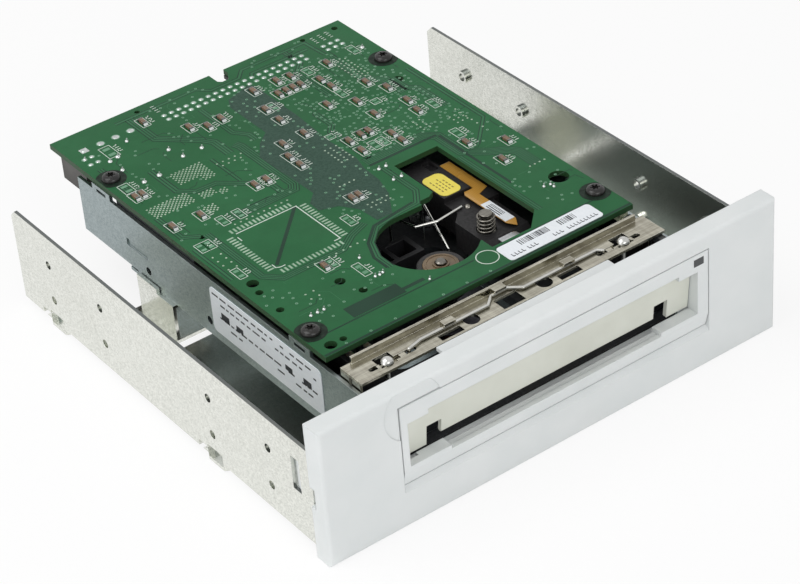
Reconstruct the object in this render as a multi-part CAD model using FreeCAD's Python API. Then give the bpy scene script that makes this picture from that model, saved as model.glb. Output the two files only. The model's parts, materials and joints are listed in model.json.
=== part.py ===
import FreeCAD, Part
import math
import os

# Data tape drive for a half-height front bay: a slim drive for small tape cartridges, held in a
# sheet-metal tray and framed by a wide bezel.  The model is built with the bezel's face at y = 0, the
# depth along +Y, the width along X and the bezel's lower edge at z = 0.  The last step moves everything
# back by half the overall depth, so that the origin is the middle of the footprint.

Vec = FreeCAD.Vector

# ---------------------------------------------------------------- driving dimensions, millimetres
# Clearances
SLIP = 0.3            # between pieces that pass or face each other
RUNNING = 0.05        # radial clearance of a shaft in its bore

# Bay, tray and bezel
BAY_WIDTH = 146.0     # across the tray's sides
BEZEL_OVERHANG = 1.0  # bezel past the tray at each side
BEZEL_HEIGHT = 42.0
BEZEL_DEPTH = 6.0
BEZEL_WALL = 2.4
BEZEL_EDGE_R = 1.2
TRAY_LIFT = 2.5       # tray floor above the bezel's lower edge
TRAY_SHEET = 1.0
TRAY_SIDE_HEIGHT = 29.6
TRAY_LENGTH = 143.2
TRAY_FLOOR_LENGTH = 91.0
TRAY_LEDGE_WIDTH = 11.0
STRAP_START = 101.0   # cross strap of the tray, from the bezel's face
STRAP_WIDTH = 21.0
PAD_DROP = 2.1        # bottom mounting pads below the tray floor
PAD_R = 4.7
SIDE_SCREW_FRONT = 25.5
PAD_MARGIN = 17.86    # rear pads ahead of the tray's rear end
SIDE_SCREW_PITCH = 79.24
SIDE_SCREW_LOW = 10.4
SIDE_SCREW_RISE = 11.84
BOTTOM_SCREW_INSET = 3.15  # bottom screws inside the tray's outer faces
M3_TAP_R = 1.25
M3_CLEAR_R = 1.6
BURR_WALL = 0.7
BURR_DEPTH = 1.2
BEZEL_CLIP_FRONT = 11.6
BEZEL_CLIP_LENGTH = 3.5
BEZEL_CLIP_LOW = 16.1
BEZEL_CLIP_HEIGHT = 10.3

# Drive body
DRIVE_CHEEK = 0.8     # drive past the fascia at each side
DRIVE_LIFT = 9.9      # drive's underside above the tray floor
CHASSIS_SHEET = 1.0
CHASSIS_FRONT = 8.3
CHASSIS_REAR = 150.0
CHASSIS_FLOOR_REAR = 126.0
CHASSIS_WALL_HEIGHT = 19.2
DECK_THICKNESS = 3.0
DECK_FRONT = 12.0
DECK_REAR = 124.0
BOARD_STANDOFF = 17.2  # board's underside above the deck
BAY_HEADROOM = 17.1    # front plate's underside above the deck

# Fascia and door
FASCIA_CHEEK = 2.85   # fascia past the slot's ears, mean of both sides
FASCIA_LOW = 12.6
FASCIA_HEIGHT = 24.5
FASCIA_WALL = 1.4
FASCIA_DEPTH = 8.0
FASCIA_ROOF_LENGTH = 14.0
FASCIA_ROOF_HALF = 28.0
FASCIA_CHIN = 4.6      # sloping band under the slot
FASCIA_CHIN_SET = 1.2
SLOT_CENTRE_X = -0.8
SLOT_WIDTH = 81.5
SLOT_EAR_WIDTH = 6.4
SLOT_HEIGHT = 15.8
SLOT_EAR_DROP = 1.4
SILL_DEPTH = 3.7
SILL_EAR_RISE = 1.1
SILL_TABLE_INSET = 6.35
LENS_WIDTH = 3.4
LENS_HEIGHT = 2.3
LENS_PAST_EAR = 0.45
LENS_BELOW_TOP = 2.45
DOOR_THICKNESS = 1.3
DOOR_HINGE_Y = 2.9
DOOR_HINGE_ABOVE = 0.9  # hinge axis above the slot's upper edge
DOOR_PIN_R = 0.6
DOOR_BARREL_R = 1.2
DOOR_LEAN = 6.0
DOOR_LEAF_LENGTH = 15.1
DOOR_PANEL_LENGTH = 13.5
DOOR_NOTCH_LENGTH = 9.0
DOOR_NOTCH_WIDTH = 4.6
DOOR_SPRING_WIRE = 0.25

# Front plate and cartridge latch
PLATE_SHEET = 0.8
PLATE_FRONT = 16.2
PLATE_DEPTH = 9.2
PLATE_LIP = 1.9
PLATE_FOOT_WIDTH = 3.4
LATCH_INSET = 2.15     # latch pins inside the slot's ends
LATCH_Y = 19.4
LATCH_TRAVEL = 2.2
LATCH_PIN_R = 0.75
LATCH_DOME_R = 1.9
LATCH_ROLLER_R = 1.9
LATCH_ROLLER_LENGTH = 7.3
LATCH_GUIDE = 1.6      # slot width in the plate
LATCH_WIRE_R = 0.5

# Circuit board
BOARD_INSET = 0.35     # board inside the drive's outer faces
BOARD_FRONT = 30.1
BOARD_LENGTH = 134.7
BOARD_THICKNESS = 1.6
BOARD_SCREW_INSET = 3.45
BOARD_SCREW_FRONT = 41.5
BOARD_SCREW_REAR = 137.3
BOARD_KEY_WIDTH = 5.1
BOARD_KEY_DEPTH = 5.6
WINDOW_RIGHT = 29.6
WINDOW_WIDTH = 14.9
WINDOW_REAR = 88.7
WINDOW_FRONT = 39.8
WINDOW_ROUND_R = 14.0
PIN_PITCH = 2.54
HEADER_COLUMNS = 20
HEADER_DEPTH = 9.2
HEADER_HEIGHT = 8.6
POWER_WIDTH = 21.2
POWER_HEIGHT = 10.6
POWER_DEPTH = 14.0
POWER_PITCH = 5.08
REAR_GAP_LEFT = 0.1648   # shares of the board's rear edge that the three connectors leave free
REAR_GAP_MIDDLE = 0.3078
REAR_GAP_RIGHT = 0.3632
JUMPER_COLUMNS = 3

# Capstan drive
CAPSTAN_Y = 49.0
CAPSTAN_SHAFT_R = 1.5
CAPSTAN_TYRE_R = 6.6
CAPSTAN_HUB_R = 5.0
CAPSTAN_TYRE_HEIGHT = 8.0
CAPSTAN_TOP_GAP = 2.4   # shaft's top below the board's underside
ROTOR_R = 13.0
ROTOR_THICKNESS = 1.0
ARM_PIVOT_X = -20.0
ARM_PIVOT_Y = 52.0
ARM_PIN_R = 2.0

# Head carriage
CARRIAGE_LEFT = 18.5
CARRIAGE_WIDTH = 13.5
CARRIAGE_FOOT = 3.2     # front half reaches this far past the left side of the rear half
CARRIAGE_FRONT = 46.6
CARRIAGE_REAR = 91.0
CARRIAGE_STEP_Y = 71.6
CARRIAGE_BASE_GAP = 4.8  # carriage's underside above the deck
CARRIAGE_LOW_TOP = 12.8  # top of its front half above the deck
CARRIAGE_HIGH_TOP = 14.6
GUIDE_POST_X = 19.7
GUIDE_POST_Y = 54.6
GUIDE_POST_R = 1.2
GUIDE_POST_HEAD_R = 1.9
LEAD_SCREW_X = 22.4
LEAD_SCREW_Y = 85.4
LEAD_SCREW_R = 1.25
STEPPER_R = 5.2
STEPPER_HEIGHT = 5.0
HEAD_WIDTH = 6.0
HEAD_HEIGHT = 6.2
HEAD_REACH = 4.0

# Small features of the bezel and the tray
BEZEL_BEVEL = 1.3
FINGER_DISH_R = 8.7
FINGER_DISH_DEPTH = 0.3
BEZEL_CLIP_THICKNESS = 1.2
TRAY_SIDE_CORNER = 2.0
PAD_WINDOW = 1.9       # pads' openings up the tray's wall
SHELF_FRONT_Y = 20.0
SHELF_REAR_Y = 103.0
SHELF_WIDTH = 9.0
SHELF_REACH = 9.0
LOCATING_LIP_WIDTH = 9.0
LOCATING_LIP_RISE = 1.6
DRIVE_SCREW_INSET = 4.8
TRAY_SCREW_HEAD_R = 2.7
TRAY_SCREW_HEAD = 1.6
TRAY_SCREW_RECESS_R = 1.1
TRAY_SCREW_BITE = 2.0  # thread past the chassis floor

# Small features of the drive body
BRIDGE_HALF = 4.6
BRIDGE_LEG = 2.2
DRIVE_SIDE_SCREW_Y = 85.5
DRIVE_SIDE_SCREW_PITCH = 30.5
DRIVE_SIDE_SCREW_RISE = 4.4
RIB_Y = 115.6
RIB_LENGTH = 10.6
RIB_RISE = 8.2
RIB_HEIGHT = 2.4
RIB_DEPTH = 0.4
DECK_SCREW_INSET = 6.8
DECK_SCREW_FRONT = 52.0
DECK_SCREW_REAR = 116.0
DECK_SCREW_R = 1.0
DECK_SCREW_HEAD_R = 2.4
DECK_SCREW_HEAD = 1.2
DECK_SCREW_RECESS_R = 0.9
DECK_BORDER = 14.0     # deck beside its rear opening
DECK_OPENING_AHEAD = 12.0  # rear opening behind the carriage
DECK_REAR_BORDER = 8.0
DECK_OPENING_CORNER = 4.0
DECK_RAIL = 1.6
DECK_RAIL_HEIGHT = 9.0
MOTOR_BAY_LEFT = -27.0
MOTOR_BAY_RIGHT = 15.6
MOTOR_BAY_FRONT = 33.5
MOTOR_BAY_REAR = 74.0
GUIDE_FRONT = 26.5
GUIDE_REAR = 42.0
GUIDE_HEIGHT = 12.8
GUIDE_LEAD = 1.6
GUIDE_WALL = 1.4

# Small features of the fascia, the door and the lamp
FASCIA_ROOF = 1.1
TONGUE_LENGTH = 3.4
PIPE_WIDTH = 2.0
PIPE_BEND_Y = 10.0
LAMP_Y = 29.6
DOOR_BARREL_SHORT = 3.55  # barrel's end inside the right ear
DOOR_LEAF_OVERLAP = 1.3
DOOR_SHOULDER = 2.9
DOOR_RAIL = 0.9
SPRING_X = -12.0
SPRING_HALF = 2.0
SPRING_ROOM = 0.6
SPRING_LEG_REACH = 7.0

# Small features of the front plate and the latch
T_HOLE_WIDTH = 5.0
T_HOLE_AHEAD = 1.4
T_HOLE_BEHIND = 3.3
LATCH_INNER_SLOT = 9.0
LATCH_OUTER_SLOT = 5.6
LATCH_CARRIER_SHORT = 3.0
LATCH_CARRIER_HALF = 1.0
CARRIER_THICKNESS = 1.2
CARRIER_LUG = 1.8
CARRIER_GAP = 0.2
LATCH_ROLLER_LIFT = 3.0
DOME_GAP = 0.15
PLATE_WINDOW_X = 19.4
WIRE_Y = 20.6
WIRE_BUMP = 2.7
HOOK_WIDTH = 3.6
HOOK_REACH = 1.3
LATCH_WIRE_END = 6.9

# Small features of the board
WINDOW_STEP = 4.4
WINDOW_CORNER = 6.2
BOARD_SCREW_HEAD_R = 3.2
BOARD_SCREW_HEAD = 1.5
BOARD_SCREW_RECESS_R = 1.2
BOARD_SCREW_BITE = 1.0
BOARD_TABLE_WIDTH = 100.9  # board width that the places below are stated for
BOARD_HOLES = [(44.5, 53.8, 2.9), (-46.0, 69.0, 1.7), (-47.0, 64.5, 1.1), (-47.3, 54.6, 1.1),
               (-28.5, 54.4, 1.5), (-26.3, 47.2, 1.2), (-46.4, 33.6, 1.7), (-42.5, 33.6, 1.0),
               (43.3, 125.0, 1.6), (-44.0, 96.0, 0.9), (12.0, 87.7, 0.9), (46.8, 161.5, 1.0),
               (35.7, 162.3, 0.8), (-22.7, 162.3, 0.8)]
CHIP_WIDTH = 1.6
CHIP_LENGTH = 3.2
CHIP_HEIGHT = 0.9
CHIP_PLACES = [(-24.6, 156.2), (-16.3, 144.5), (-12.0, 141.3), (-6.9, 142.3), (8.3, 148.2),
               (16.5, 148.2), (21.0, 147.6), (12.8, 141.8), (15.5, 141.8), (18.0, 141.8),
               (20.6, 141.8), (33.2, 146.2), (26.3, 140.0), (26.5, 134.8), (5.2, 137.5),
               (5.0, 130.0), (35.2, 129.7), (19.7, 127.3), (27.0, 123.0), (38.0, 123.2),
               (-1.7, 118.8), (6.0, 119.4), (-4.2, 112.3), (-4.2, 106.9), (26.7, 114.0),
               (38.0, 113.5), (12.9, 107.3), (17.3, 107.8), (20.0, 107.8), (36.8, 107.2),
               (-47.3, 105.3), (-38.5, 104.8), (-19.3, 107.0), (-15.4, 107.0), (12.7, 101.0),
               (24.1, 102.2), (24.1, 97.6), (36.5, 84.3), (45.6, 77.8), (38.6, 70.7),
               (-3.4, 83.5), (-1.2, 83.5), (-27.7, 62.5), (-47.0, 124.5), (-44.8, 124.5)]
CHIP_PACKAGES = [(-27.0, 80.5, 24.0, 24.0), (20.0, 108.0, 20.0, 20.0), (-6.0, 118.0, 14.0, 20.0),
                 (30.0, 136.0, 12.0, 18.0)]
PACKAGE_HEIGHT = 3.2
LEAD_PITCH = 1.27
CAN_PLACES = [(-40.0, 118.0), (-38.0, 127.5), (-29.5, 134.0), (-20.0, 136.0)]
CAN_HEIGHT = 6.4
CAN_R = 3.1
CRYSTAL_X = 4.0
CRYSTAL_Y = 136.0
CRYSTAL_LENGTH = 11.0
CRYSTAL_WIDTH = 4.6
POWER_WALL = 1.5
HEADER_WALL = 1.2
HEADER_END = 1.4       # room past the end pins
PIN_HALF = 0.32
JUMPER_PIN_LENGTH = 5.8
JUMPER_CAP_LENGTH = 5.2

# Small features of the capstan drive
CAPSTAN_TIP = 1.2      # shaft above the hub
ARM_PLATE = 0.7
ARM_BOSS_R = 3.6
ARM_BRIDGE = 2.4
ARM_BEARING_R = 3.4
ARM_BUSH_R = 2.4
ARM_BOX_LEFT = -12.0
ARM_BOX_RIGHT = 4.5
ARM_BOX_REAR = 71.5
ARM_BOX_RISE = 9.0
COIL_COUNT = 6
COIL_HEIGHT = 0.6
ARM_FINGER_X = 11.0
ARM_FINGER_Y = 58.6
ARM_WIRE_R = 0.4
ARM_WIRE_FOOT_X = 14.8
ARM_WIRE_DROP = 5.4
HOLD_WIRE_R = 0.4

# Small features of the head carriage
REAR_POST_X = 22.4
REAR_POST_Y = 75.6
RIVET_X = 22.6
RIVET_Y = 66.4
RIVET_R = 0.8
RIVET_DOME_R = 1.1
RIVET_DEPTH = 2.0
SPRING_SEAT = 1.2
POST_SPRING_R = 2.3
POST_WIRE_R = 0.3
POST_COILS = 5
LEAD_SCREW_GROOVE = 0.8
HEAD_X = 22.2
FLEX_WIDTH = 3.4
FLEX_FRONT_X = 24.4
FLEX_THICKNESS = 0.2
FLEX_TURN_Y = 86.0
FLEX_LOOP_R = 1.2
FLEX_LIFT = 0.9
FLEX_TIP = 2.6         # cable's tip behind the carriage's front
FLEX_POINT = 2.8
FLEX_LABEL_SETBACK = 3.2
FLEX_LABEL_LENGTH = 10.8
STICKER_WIDTH = 6.8
STICKER_LENGTH = 11.0

# Sensors and labels
LABEL_THICKNESS = 0.15
SWITCH_NAMES = ["cartridge_in_plunger", "write_lock_plunger"]
SWITCH_STEPS = [9.5, 15.0]  # switches beside the tape sensor
SWITCH_Y = 43.6
SWITCH_WIDTH = 4.6
SWITCH_DEPTH = 7.0
SWITCH_HEIGHT = 8.0
PLUNGER_R = 0.9
PLUNGER_OUT = 1.6
PLUNGER_STROKE = 1.2
TAPE_SENSOR_INSET = 6.3
SIDE_LABEL_Y = 32.5
SIDE_LABEL_LENGTH = 51.0
SIDE_LABEL_RISE = 2.7
SIDE_LABEL_HEIGHT = 14.4
BOARD_LABEL_X = 10.0
BOARD_LABEL_WIDTH = 31.6
BOARD_LABEL_DEPTH = 7.2

# ---------------------------------------------------------------- levels and places that follow
TRAY_FLOOR_TOP = TRAY_LIFT + TRAY_SHEET
DRIVE_BASE = TRAY_FLOOR_TOP + DRIVE_LIFT
FLOOR_TOP = DRIVE_BASE + CHASSIS_SHEET
DECK_TOP = FLOOR_TOP + DECK_THICKNESS
PLATE_BASE = DECK_TOP + BAY_HEADROOM
PLATE_TOP = PLATE_BASE + PLATE_SHEET
BOARD_BASE = DECK_TOP + BOARD_STANDOFF
BOARD_TOP = BOARD_BASE + BOARD_THICKNESS
BOARD_REAR = BOARD_FRONT + BOARD_LENGTH
WALL_TOP = DRIVE_BASE + CHASSIS_WALL_HEIGHT
FASCIA_WIDTH = SLOT_WIDTH + 2 * SLOT_EAR_WIDTH + 2 * FASCIA_CHEEK
DRIVE_WIDTH = FASCIA_WIDTH + 2 * DRIVE_CHEEK
BOARD_WIDTH = DRIVE_WIDTH - 2 * BOARD_INSET
HALF_DRIVE = DRIVE_WIDTH / 2
WALL_IN = HALF_DRIVE - CHASSIS_SHEET
BEZEL_HALF = BAY_WIDTH / 2 + BEZEL_OVERHANG
TRAY_HALF = BAY_WIDTH / 2
TRAY_IN = TRAY_HALF - TRAY_SHEET
TRAY_FRONT = BEZEL_DEPTH + SLIP
TRAY_REAR = TRAY_FRONT + TRAY_LENGTH
TRAY_TOP = TRAY_LIFT + TRAY_SIDE_HEIGHT
SIDE_SCREW_SECOND = TRAY_REAR - PAD_MARGIN - SIDE_SCREW_PITCH
BOTTOM_SCREW_SPAN = BAY_WIDTH - 2 * BOTTOM_SCREW_INSET
DRIVE_SCREW_X = HALF_DRIVE - DRIVE_SCREW_INSET
DECK_SCREW_X = HALF_DRIVE - DECK_SCREW_INSET
FASCIA_TOP = FASCIA_LOW + FASCIA_HEIGHT
SILL_TOP = FASCIA_LOW + FASCIA_CHIN
SLOT_LEFT = SLOT_CENTRE_X - SLOT_WIDTH / 2
SLOT_RIGHT = SLOT_CENTRE_X + SLOT_WIDTH / 2
EAR_LEFT = SLOT_LEFT - SLOT_EAR_WIDTH
EAR_RIGHT = SLOT_RIGHT + SLOT_EAR_WIDTH
SLOT_TOP = SILL_TOP + SLOT_HEIGHT
DOOR_HINGE_Z = SLOT_TOP + DOOR_HINGE_ABOVE
SILL_TABLE_HALF = SLOT_WIDTH / 2 - SILL_TABLE_INSET
LENS_X = EAR_RIGHT + LENS_PAST_EAR
DOOR_BARREL_RIGHT = EAR_RIGHT - DOOR_BARREL_SHORT
LATCH_REACH = SLOT_WIDTH / 2 - LATCH_INSET
LATCH_X = [SLOT_CENTRE_X - LATCH_REACH, SLOT_CENTRE_X + LATCH_REACH]
BOARD_SCREW_X = BOARD_WIDTH / 2 - BOARD_SCREW_INSET
HEADER_HALF = HEADER_COLUMNS * PIN_PITCH / 2 + HEADER_WALL + HEADER_END
JUMPER_HALF = JUMPER_COLUMNS * PIN_PITCH / 2
REAR_FREE = BOARD_WIDTH - POWER_WIDTH - 2 * HEADER_HALF - 2 * JUMPER_HALF
POWER_CENTRE_X = REAR_GAP_LEFT * REAR_FREE + POWER_WIDTH / 2 - BOARD_WIDTH / 2
HEADER_CENTRE_X = POWER_CENTRE_X + POWER_WIDTH / 2 + REAR_GAP_MIDDLE * REAR_FREE + HEADER_HALF
JUMPER_CENTRE_X = BOARD_WIDTH / 2 - REAR_GAP_RIGHT * REAR_FREE - JUMPER_HALF
TAPE_SENSOR_X = TAPE_SENSOR_INSET - HALF_DRIVE
SWITCH_X = [TAPE_SENSOR_X + step for step in SWITCH_STEPS]
CAPSTAN_TOP = BOARD_BASE - CAPSTAN_TOP_GAP
CARRIAGE_RIGHT = CARRIAGE_LEFT + CARRIAGE_WIDTH
CARRIAGE_BASE = DECK_TOP + CARRIAGE_BASE_GAP
CARRIAGE_LOW = DECK_TOP + CARRIAGE_LOW_TOP
CARRIAGE_HIGH = DECK_TOP + CARRIAGE_HIGH_TOP
OVERALL_DEPTH = BOARD_REAR


# ---------------------------------------------------------------- shape helpers
def box(x0, x1, y0, y1, z0, z1):
    """Block between two corners."""
    return Part.makeBox(x1 - x0, y1 - y0, z1 - z0, Vec(x0, y0, z0))


def rod(x, y, z0, z1, radius):
    """Upright cylinder."""
    return Part.makeCylinder(radius, z1 - z0, Vec(x, y, z0))


def rod_x(x0, x1, y, z, radius):
    """Cylinder along X."""
    return Part.makeCylinder(radius, x1 - x0, Vec(x0, y, z), Vec(1, 0, 0))


def rod_y(x, y0, y1, z, radius):
    """Cylinder along Y."""
    return Part.makeCylinder(radius, y1 - y0, Vec(x, y0, z), Vec(0, 1, 0))


def tube(x, y, z0, z1, outer, inner):
    """Upright tube."""
    return rod(x, y, z0, z1, outer).cut(rod(x, y, z0 - 1, z1 + 1, inner))


def prism(points, direction):
    """Solid swept from a flat polygon."""
    wire = Part.makePolygon([Vec(*p) for p in points] + [Vec(*points[0])])
    return Part.Face(wire).extrude(Vec(*direction))


def rounded_plan(x0, x1, y0, y1, z0, z1, radius):
    """Block with its four upright edges rounded."""
    solid = box(x0, x1, y0, y1, z0, z1)
    edges = [e for e in solid.Edges if abs(e.Vertexes[0].Z - e.Vertexes[1].Z) > (z1 - z0) / 2]
    return solid.makeFillet(radius, edges)


def rounded_front(x0, x1, y0, y1, z0, z1, radius):
    """Block with its four edges along Y rounded."""
    solid = box(x0, x1, y0, y1, z0, z1)
    edges = [e for e in solid.Edges if abs(e.Vertexes[0].Y - e.Vertexes[1].Y) > (y1 - y0) / 2]
    return solid.makeFillet(radius, edges)


def join(first, *others):
    """One solid from touching pieces."""
    whole = first
    for other in others:
        whole = whole.fuse(other).removeSplitter()
    return whole


def wire_rod(points, radius):
    """Round wire through a list of points, with a ball at each bend."""
    pieces = []
    for start, end in zip(points, points[1:]):
        run = Vec(*end) - Vec(*start)
        pieces.append(Part.makeCylinder(radius, run.Length, Vec(*start), run))
    for corner in points[1:-1]:
        pieces.append(Part.makeSphere(radius, Vec(*corner)))
    return join(*pieces)


def mirror_x(shape):
    """The same shape on the other side of the middle plane."""
    return shape.mirror(Vec(0, 0, 0), Vec(1, 0, 0))


def screw(x, y, head_base, head_r, head_height, shank_r, length, recess_r):
    """Pan-head screw pointing down, with a round driver recess."""
    head = rod(x, y, head_base, head_base + head_height, head_r)
    top = [e for e in head.Edges if e.BoundBox.ZMin > head_base + head_height / 2 and e.Closed]
    head = head.makeFillet(head_height * 0.4, top)
    shank = rod(x, y, head_base - length, head_base, shank_r)
    recess = rod(x, y, head_base + head_height * 0.45, head_base + head_height + 1, recess_r)
    return join(head, shank).cut(recess)


# ---------------------------------------------------------------- bezel and tray
def outer_bezel():
    """Bay-wide front frame with two clip arms that spring into the tray's sides."""
    shell = box(-BEZEL_HALF, BEZEL_HALF, 0, BEZEL_DEPTH, 0, BEZEL_HEIGHT)
    front_edges = [e for e in shell.Edges if e.BoundBox.YMax < BEZEL_DEPTH / 2]
    shell = shell.makeFillet(BEZEL_EDGE_R, front_edges)
    hollow = box(-BEZEL_HALF + BEZEL_WALL, BEZEL_HALF - BEZEL_WALL, BEZEL_WALL, BEZEL_DEPTH + 1,
                 BEZEL_WALL, BEZEL_HEIGHT - BEZEL_WALL)
    half = FASCIA_WIDTH / 2 + SLIP
    low = FASCIA_LOW - SLIP
    opening = box(-half, half, -1, BEZEL_DEPTH, low, FASCIA_TOP + SLIP)
    bevel = prism([(-half, -0.01, low + 0.01), (-half, -0.01, low - BEZEL_BEVEL),
                   (-half, BEZEL_BEVEL, low + 0.01)], (2 * half, 0, 0))
    collar = box(-half - FASCIA_WALL, half + FASCIA_WALL, BEZEL_WALL / 2, BEZEL_DEPTH,
                 low - FASCIA_WALL, FASCIA_TOP + SLIP + FASCIA_WALL)
    finger_dish = rod_y(-half + FINGER_DISH_R / 2, -1, FINGER_DISH_DEPTH, FASCIA_TOP - 2, FINGER_DISH_R)
    shell = join(shell.cut(hollow), collar).cut([opening, bevel, finger_dish])
    notch_low = BEZEL_CLIP_LOW + SLIP
    for side in (-1, 1):
        notch = box(-BEZEL_WALL, BEZEL_WALL, BEZEL_DEPTH - 2, BEZEL_DEPTH + 1, notch_low, notch_low + 6)
        notch.translate(Vec(side * BEZEL_HALF, 0, 0))
        shell = shell.cut(notch)
        shell = join(shell, clip_arm() if side > 0 else mirror_x(clip_arm()))
    return shell


def clip_arm():
    """Right-hand spring arm with its catch in the tray's upright slot."""
    outer = TRAY_IN - SLIP
    inner = outer - BEZEL_CLIP_THICKNESS
    low = BEZEL_CLIP_LOW + SLIP
    high = BEZEL_CLIP_LOW + BEZEL_CLIP_HEIGHT - SLIP
    catch_front = BEZEL_CLIP_FRONT + SLIP
    catch_rear = BEZEL_CLIP_FRONT + BEZEL_CLIP_LENGTH - SLIP
    arm = box(inner, outer, BEZEL_WALL, catch_rear, low, high)
    catch = prism([(outer, catch_front, low), (outer + TRAY_SHEET, catch_front, low),
                   (outer, catch_rear, low)], (0, 0, high - low))
    root = box(inner, BEZEL_HALF - BEZEL_WALL / 2, BEZEL_WALL / 2, BEZEL_WALL + 1, low, high)
    return join(arm, catch, root)


def burr_hole(tray, side, y, z):
    """Adds one drawn and tapped side hole to the tray."""
    neck = rod_x(TRAY_IN - BURR_DEPTH, TRAY_HALF, y, z, M3_TAP_R + BURR_WALL)
    bore = rod_x(TRAY_IN - BURR_DEPTH - 1, TRAY_HALF + 1, y, z, M3_TAP_R)
    if side < 0:
        neck = mirror_x(neck)
        bore = mirror_x(bore)
    return tray.fuse(neck).cut(bore)


def mounting_pad(side, y):
    """Half-round pad, drawn below the tray floor beside the wall, as a pair of add and remove."""
    x = side * BOTTOM_SCREW_SPAN / 2
    base = TRAY_LIFT - PAD_DROP
    cup = rod(x, y, base, TRAY_FLOOR_TOP, PAD_R)
    hollow = rod(x, y, base + TRAY_SHEET, TRAY_FLOOR_TOP + PAD_WINDOW, PAD_R - TRAY_SHEET)
    bore = rod(x, y, base - 1, base + TRAY_SHEET + 1, M3_TAP_R)
    inside = box(-TRAY_HALF, TRAY_HALF, y - PAD_R, y + PAD_R, base, TRAY_FLOOR_TOP)
    return cup.common(inside), hollow, bore


def mounting_tray():
    """Folded sheet tray: floor, two tall sides, a cross strap with drive shelves, and drawn pads."""
    floor = box(-TRAY_HALF, TRAY_HALF, TRAY_FRONT, TRAY_FRONT + TRAY_FLOOR_LENGTH, TRAY_LIFT, TRAY_FLOOR_TOP)
    strap = box(-TRAY_HALF, TRAY_HALF, STRAP_START, STRAP_START + STRAP_WIDTH, TRAY_LIFT, TRAY_FLOOR_TOP)
    parts = [strap]
    side_rise = TRAY_SIDE_CORNER
    for side in (-1, 1):
        outline = [(TRAY_IN, TRAY_FRONT, TRAY_LIFT), (TRAY_IN, TRAY_REAR, TRAY_LIFT),
                   (TRAY_IN, TRAY_REAR, TRAY_TOP - side_rise), (TRAY_IN, TRAY_REAR - side_rise, TRAY_TOP),
                   (TRAY_IN, TRAY_FRONT, TRAY_TOP)]
        wall = prism(outline, (TRAY_SHEET, 0, 0))
        ledge = box(TRAY_HALF - TRAY_LEDGE_WIDTH, TRAY_HALF, TRAY_FRONT + TRAY_FLOOR_LENGTH - 1, TRAY_REAR,
                    TRAY_LIFT, TRAY_FLOOR_TOP)
        pieces = [wall, ledge] + drive_shelves()
        parts += pieces if side > 0 else [mirror_x(piece) for piece in pieces]
    tray = floor.fuse(parts)
    for side in (-1, 1):
        for y in (SIDE_SCREW_FRONT, SIDE_SCREW_SECOND):
            for step in (0, SIDE_SCREW_PITCH):
                for z in (SIDE_SCREW_LOW, SIDE_SCREW_LOW + SIDE_SCREW_RISE):
                    tray = burr_hole(tray, side, y + step, z)
        for y in (SIDE_SCREW_SECOND, SIDE_SCREW_SECOND + SIDE_SCREW_PITCH):
            cup, hollow, bore = mounting_pad(side, y)
            notch_top = TRAY_LIFT + PAD_WINDOW
            notch = prism([(0, y + PAD_R - 2, notch_top), (0, y + PAD_R + 3, notch_top),
                           (0, y + PAD_R + 3, TRAY_LIFT - 1)], (TRAY_SHEET * 3, 0, 0))
            notch.translate(Vec(TRAY_HALF - TRAY_SHEET * 2 if side > 0 else -TRAY_HALF - TRAY_SHEET, 0, 0))
            sill = box(-2 * TRAY_SHEET, TRAY_SHEET * 2, y - PAD_R * 0.74, y + PAD_R * 0.74,
                       TRAY_LIFT - PAD_DROP + TRAY_SHEET, TRAY_LIFT + PAD_WINDOW + 0.9)
            sill.translate(Vec(side * TRAY_HALF, 0, 0))
            tray = tray.fuse(cup).cut([hollow, bore, notch, sill])
        slot = box(-2 * TRAY_SHEET, 2 * TRAY_SHEET, BEZEL_CLIP_FRONT, BEZEL_CLIP_FRONT + BEZEL_CLIP_LENGTH,
                   BEZEL_CLIP_LOW, BEZEL_CLIP_LOW + BEZEL_CLIP_HEIGHT)
        slot.translate(Vec(side * TRAY_HALF, 0, 0))
        tray = tray.cut(slot)
    for x, y in shelf_screws():
        tray = tray.cut(rod(x, y, DRIVE_BASE - TRAY_SHEET - 2, DRIVE_BASE + 1, M3_CLEAR_R))
    return tray.removeSplitter()


def drive_shelves():
    """Right-hand bent-up ears of the tray: an upright web and a shelf under the drive."""
    web_out = HALF_DRIVE + SLIP + TRAY_SHEET
    shelf_in = HALF_DRIVE - SHELF_REACH
    pieces = []
    for y in (SHELF_FRONT_Y, SHELF_REAR_Y):
        pieces.append(box(web_out - TRAY_SHEET, web_out, y, y + SHELF_WIDTH, TRAY_LIFT, DRIVE_BASE))
        pieces.append(box(shelf_in, web_out, y, y + SHELF_WIDTH, DRIVE_BASE - TRAY_SHEET, DRIVE_BASE))
    lip_y = SHELF_REAR_Y + SHELF_WIDTH
    pieces.append(box(web_out - TRAY_SHEET, web_out, lip_y - 1, lip_y + LOCATING_LIP_WIDTH, TRAY_LIFT,
                      DRIVE_BASE + LOCATING_LIP_RISE))
    return pieces


def shelf_screws():
    """Places of the four screws that hold the drive on the tray's shelves."""
    return [(side * DRIVE_SCREW_X, y + SHELF_WIDTH / 2)
            for side in (-1, 1) for y in (SHELF_FRONT_Y, SHELF_REAR_Y)]


def tray_drive_screws():
    """Four screws driven up through the shelves into the drive."""
    screws = []
    for x, y in shelf_screws():
        one = screw(x, y, 0, TRAY_SCREW_HEAD_R, TRAY_SCREW_HEAD, M3_TAP_R,
                    TRAY_SHEET + CHASSIS_SHEET + TRAY_SCREW_BITE, TRAY_SCREW_RECESS_R)
        one.rotate(Vec(x, y, 0), Vec(1, 0, 0), 180)
        one.translate(Vec(0, 0, DRIVE_BASE - TRAY_SHEET))
        screws.append(one)
    return Part.makeCompound(screws)


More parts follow.
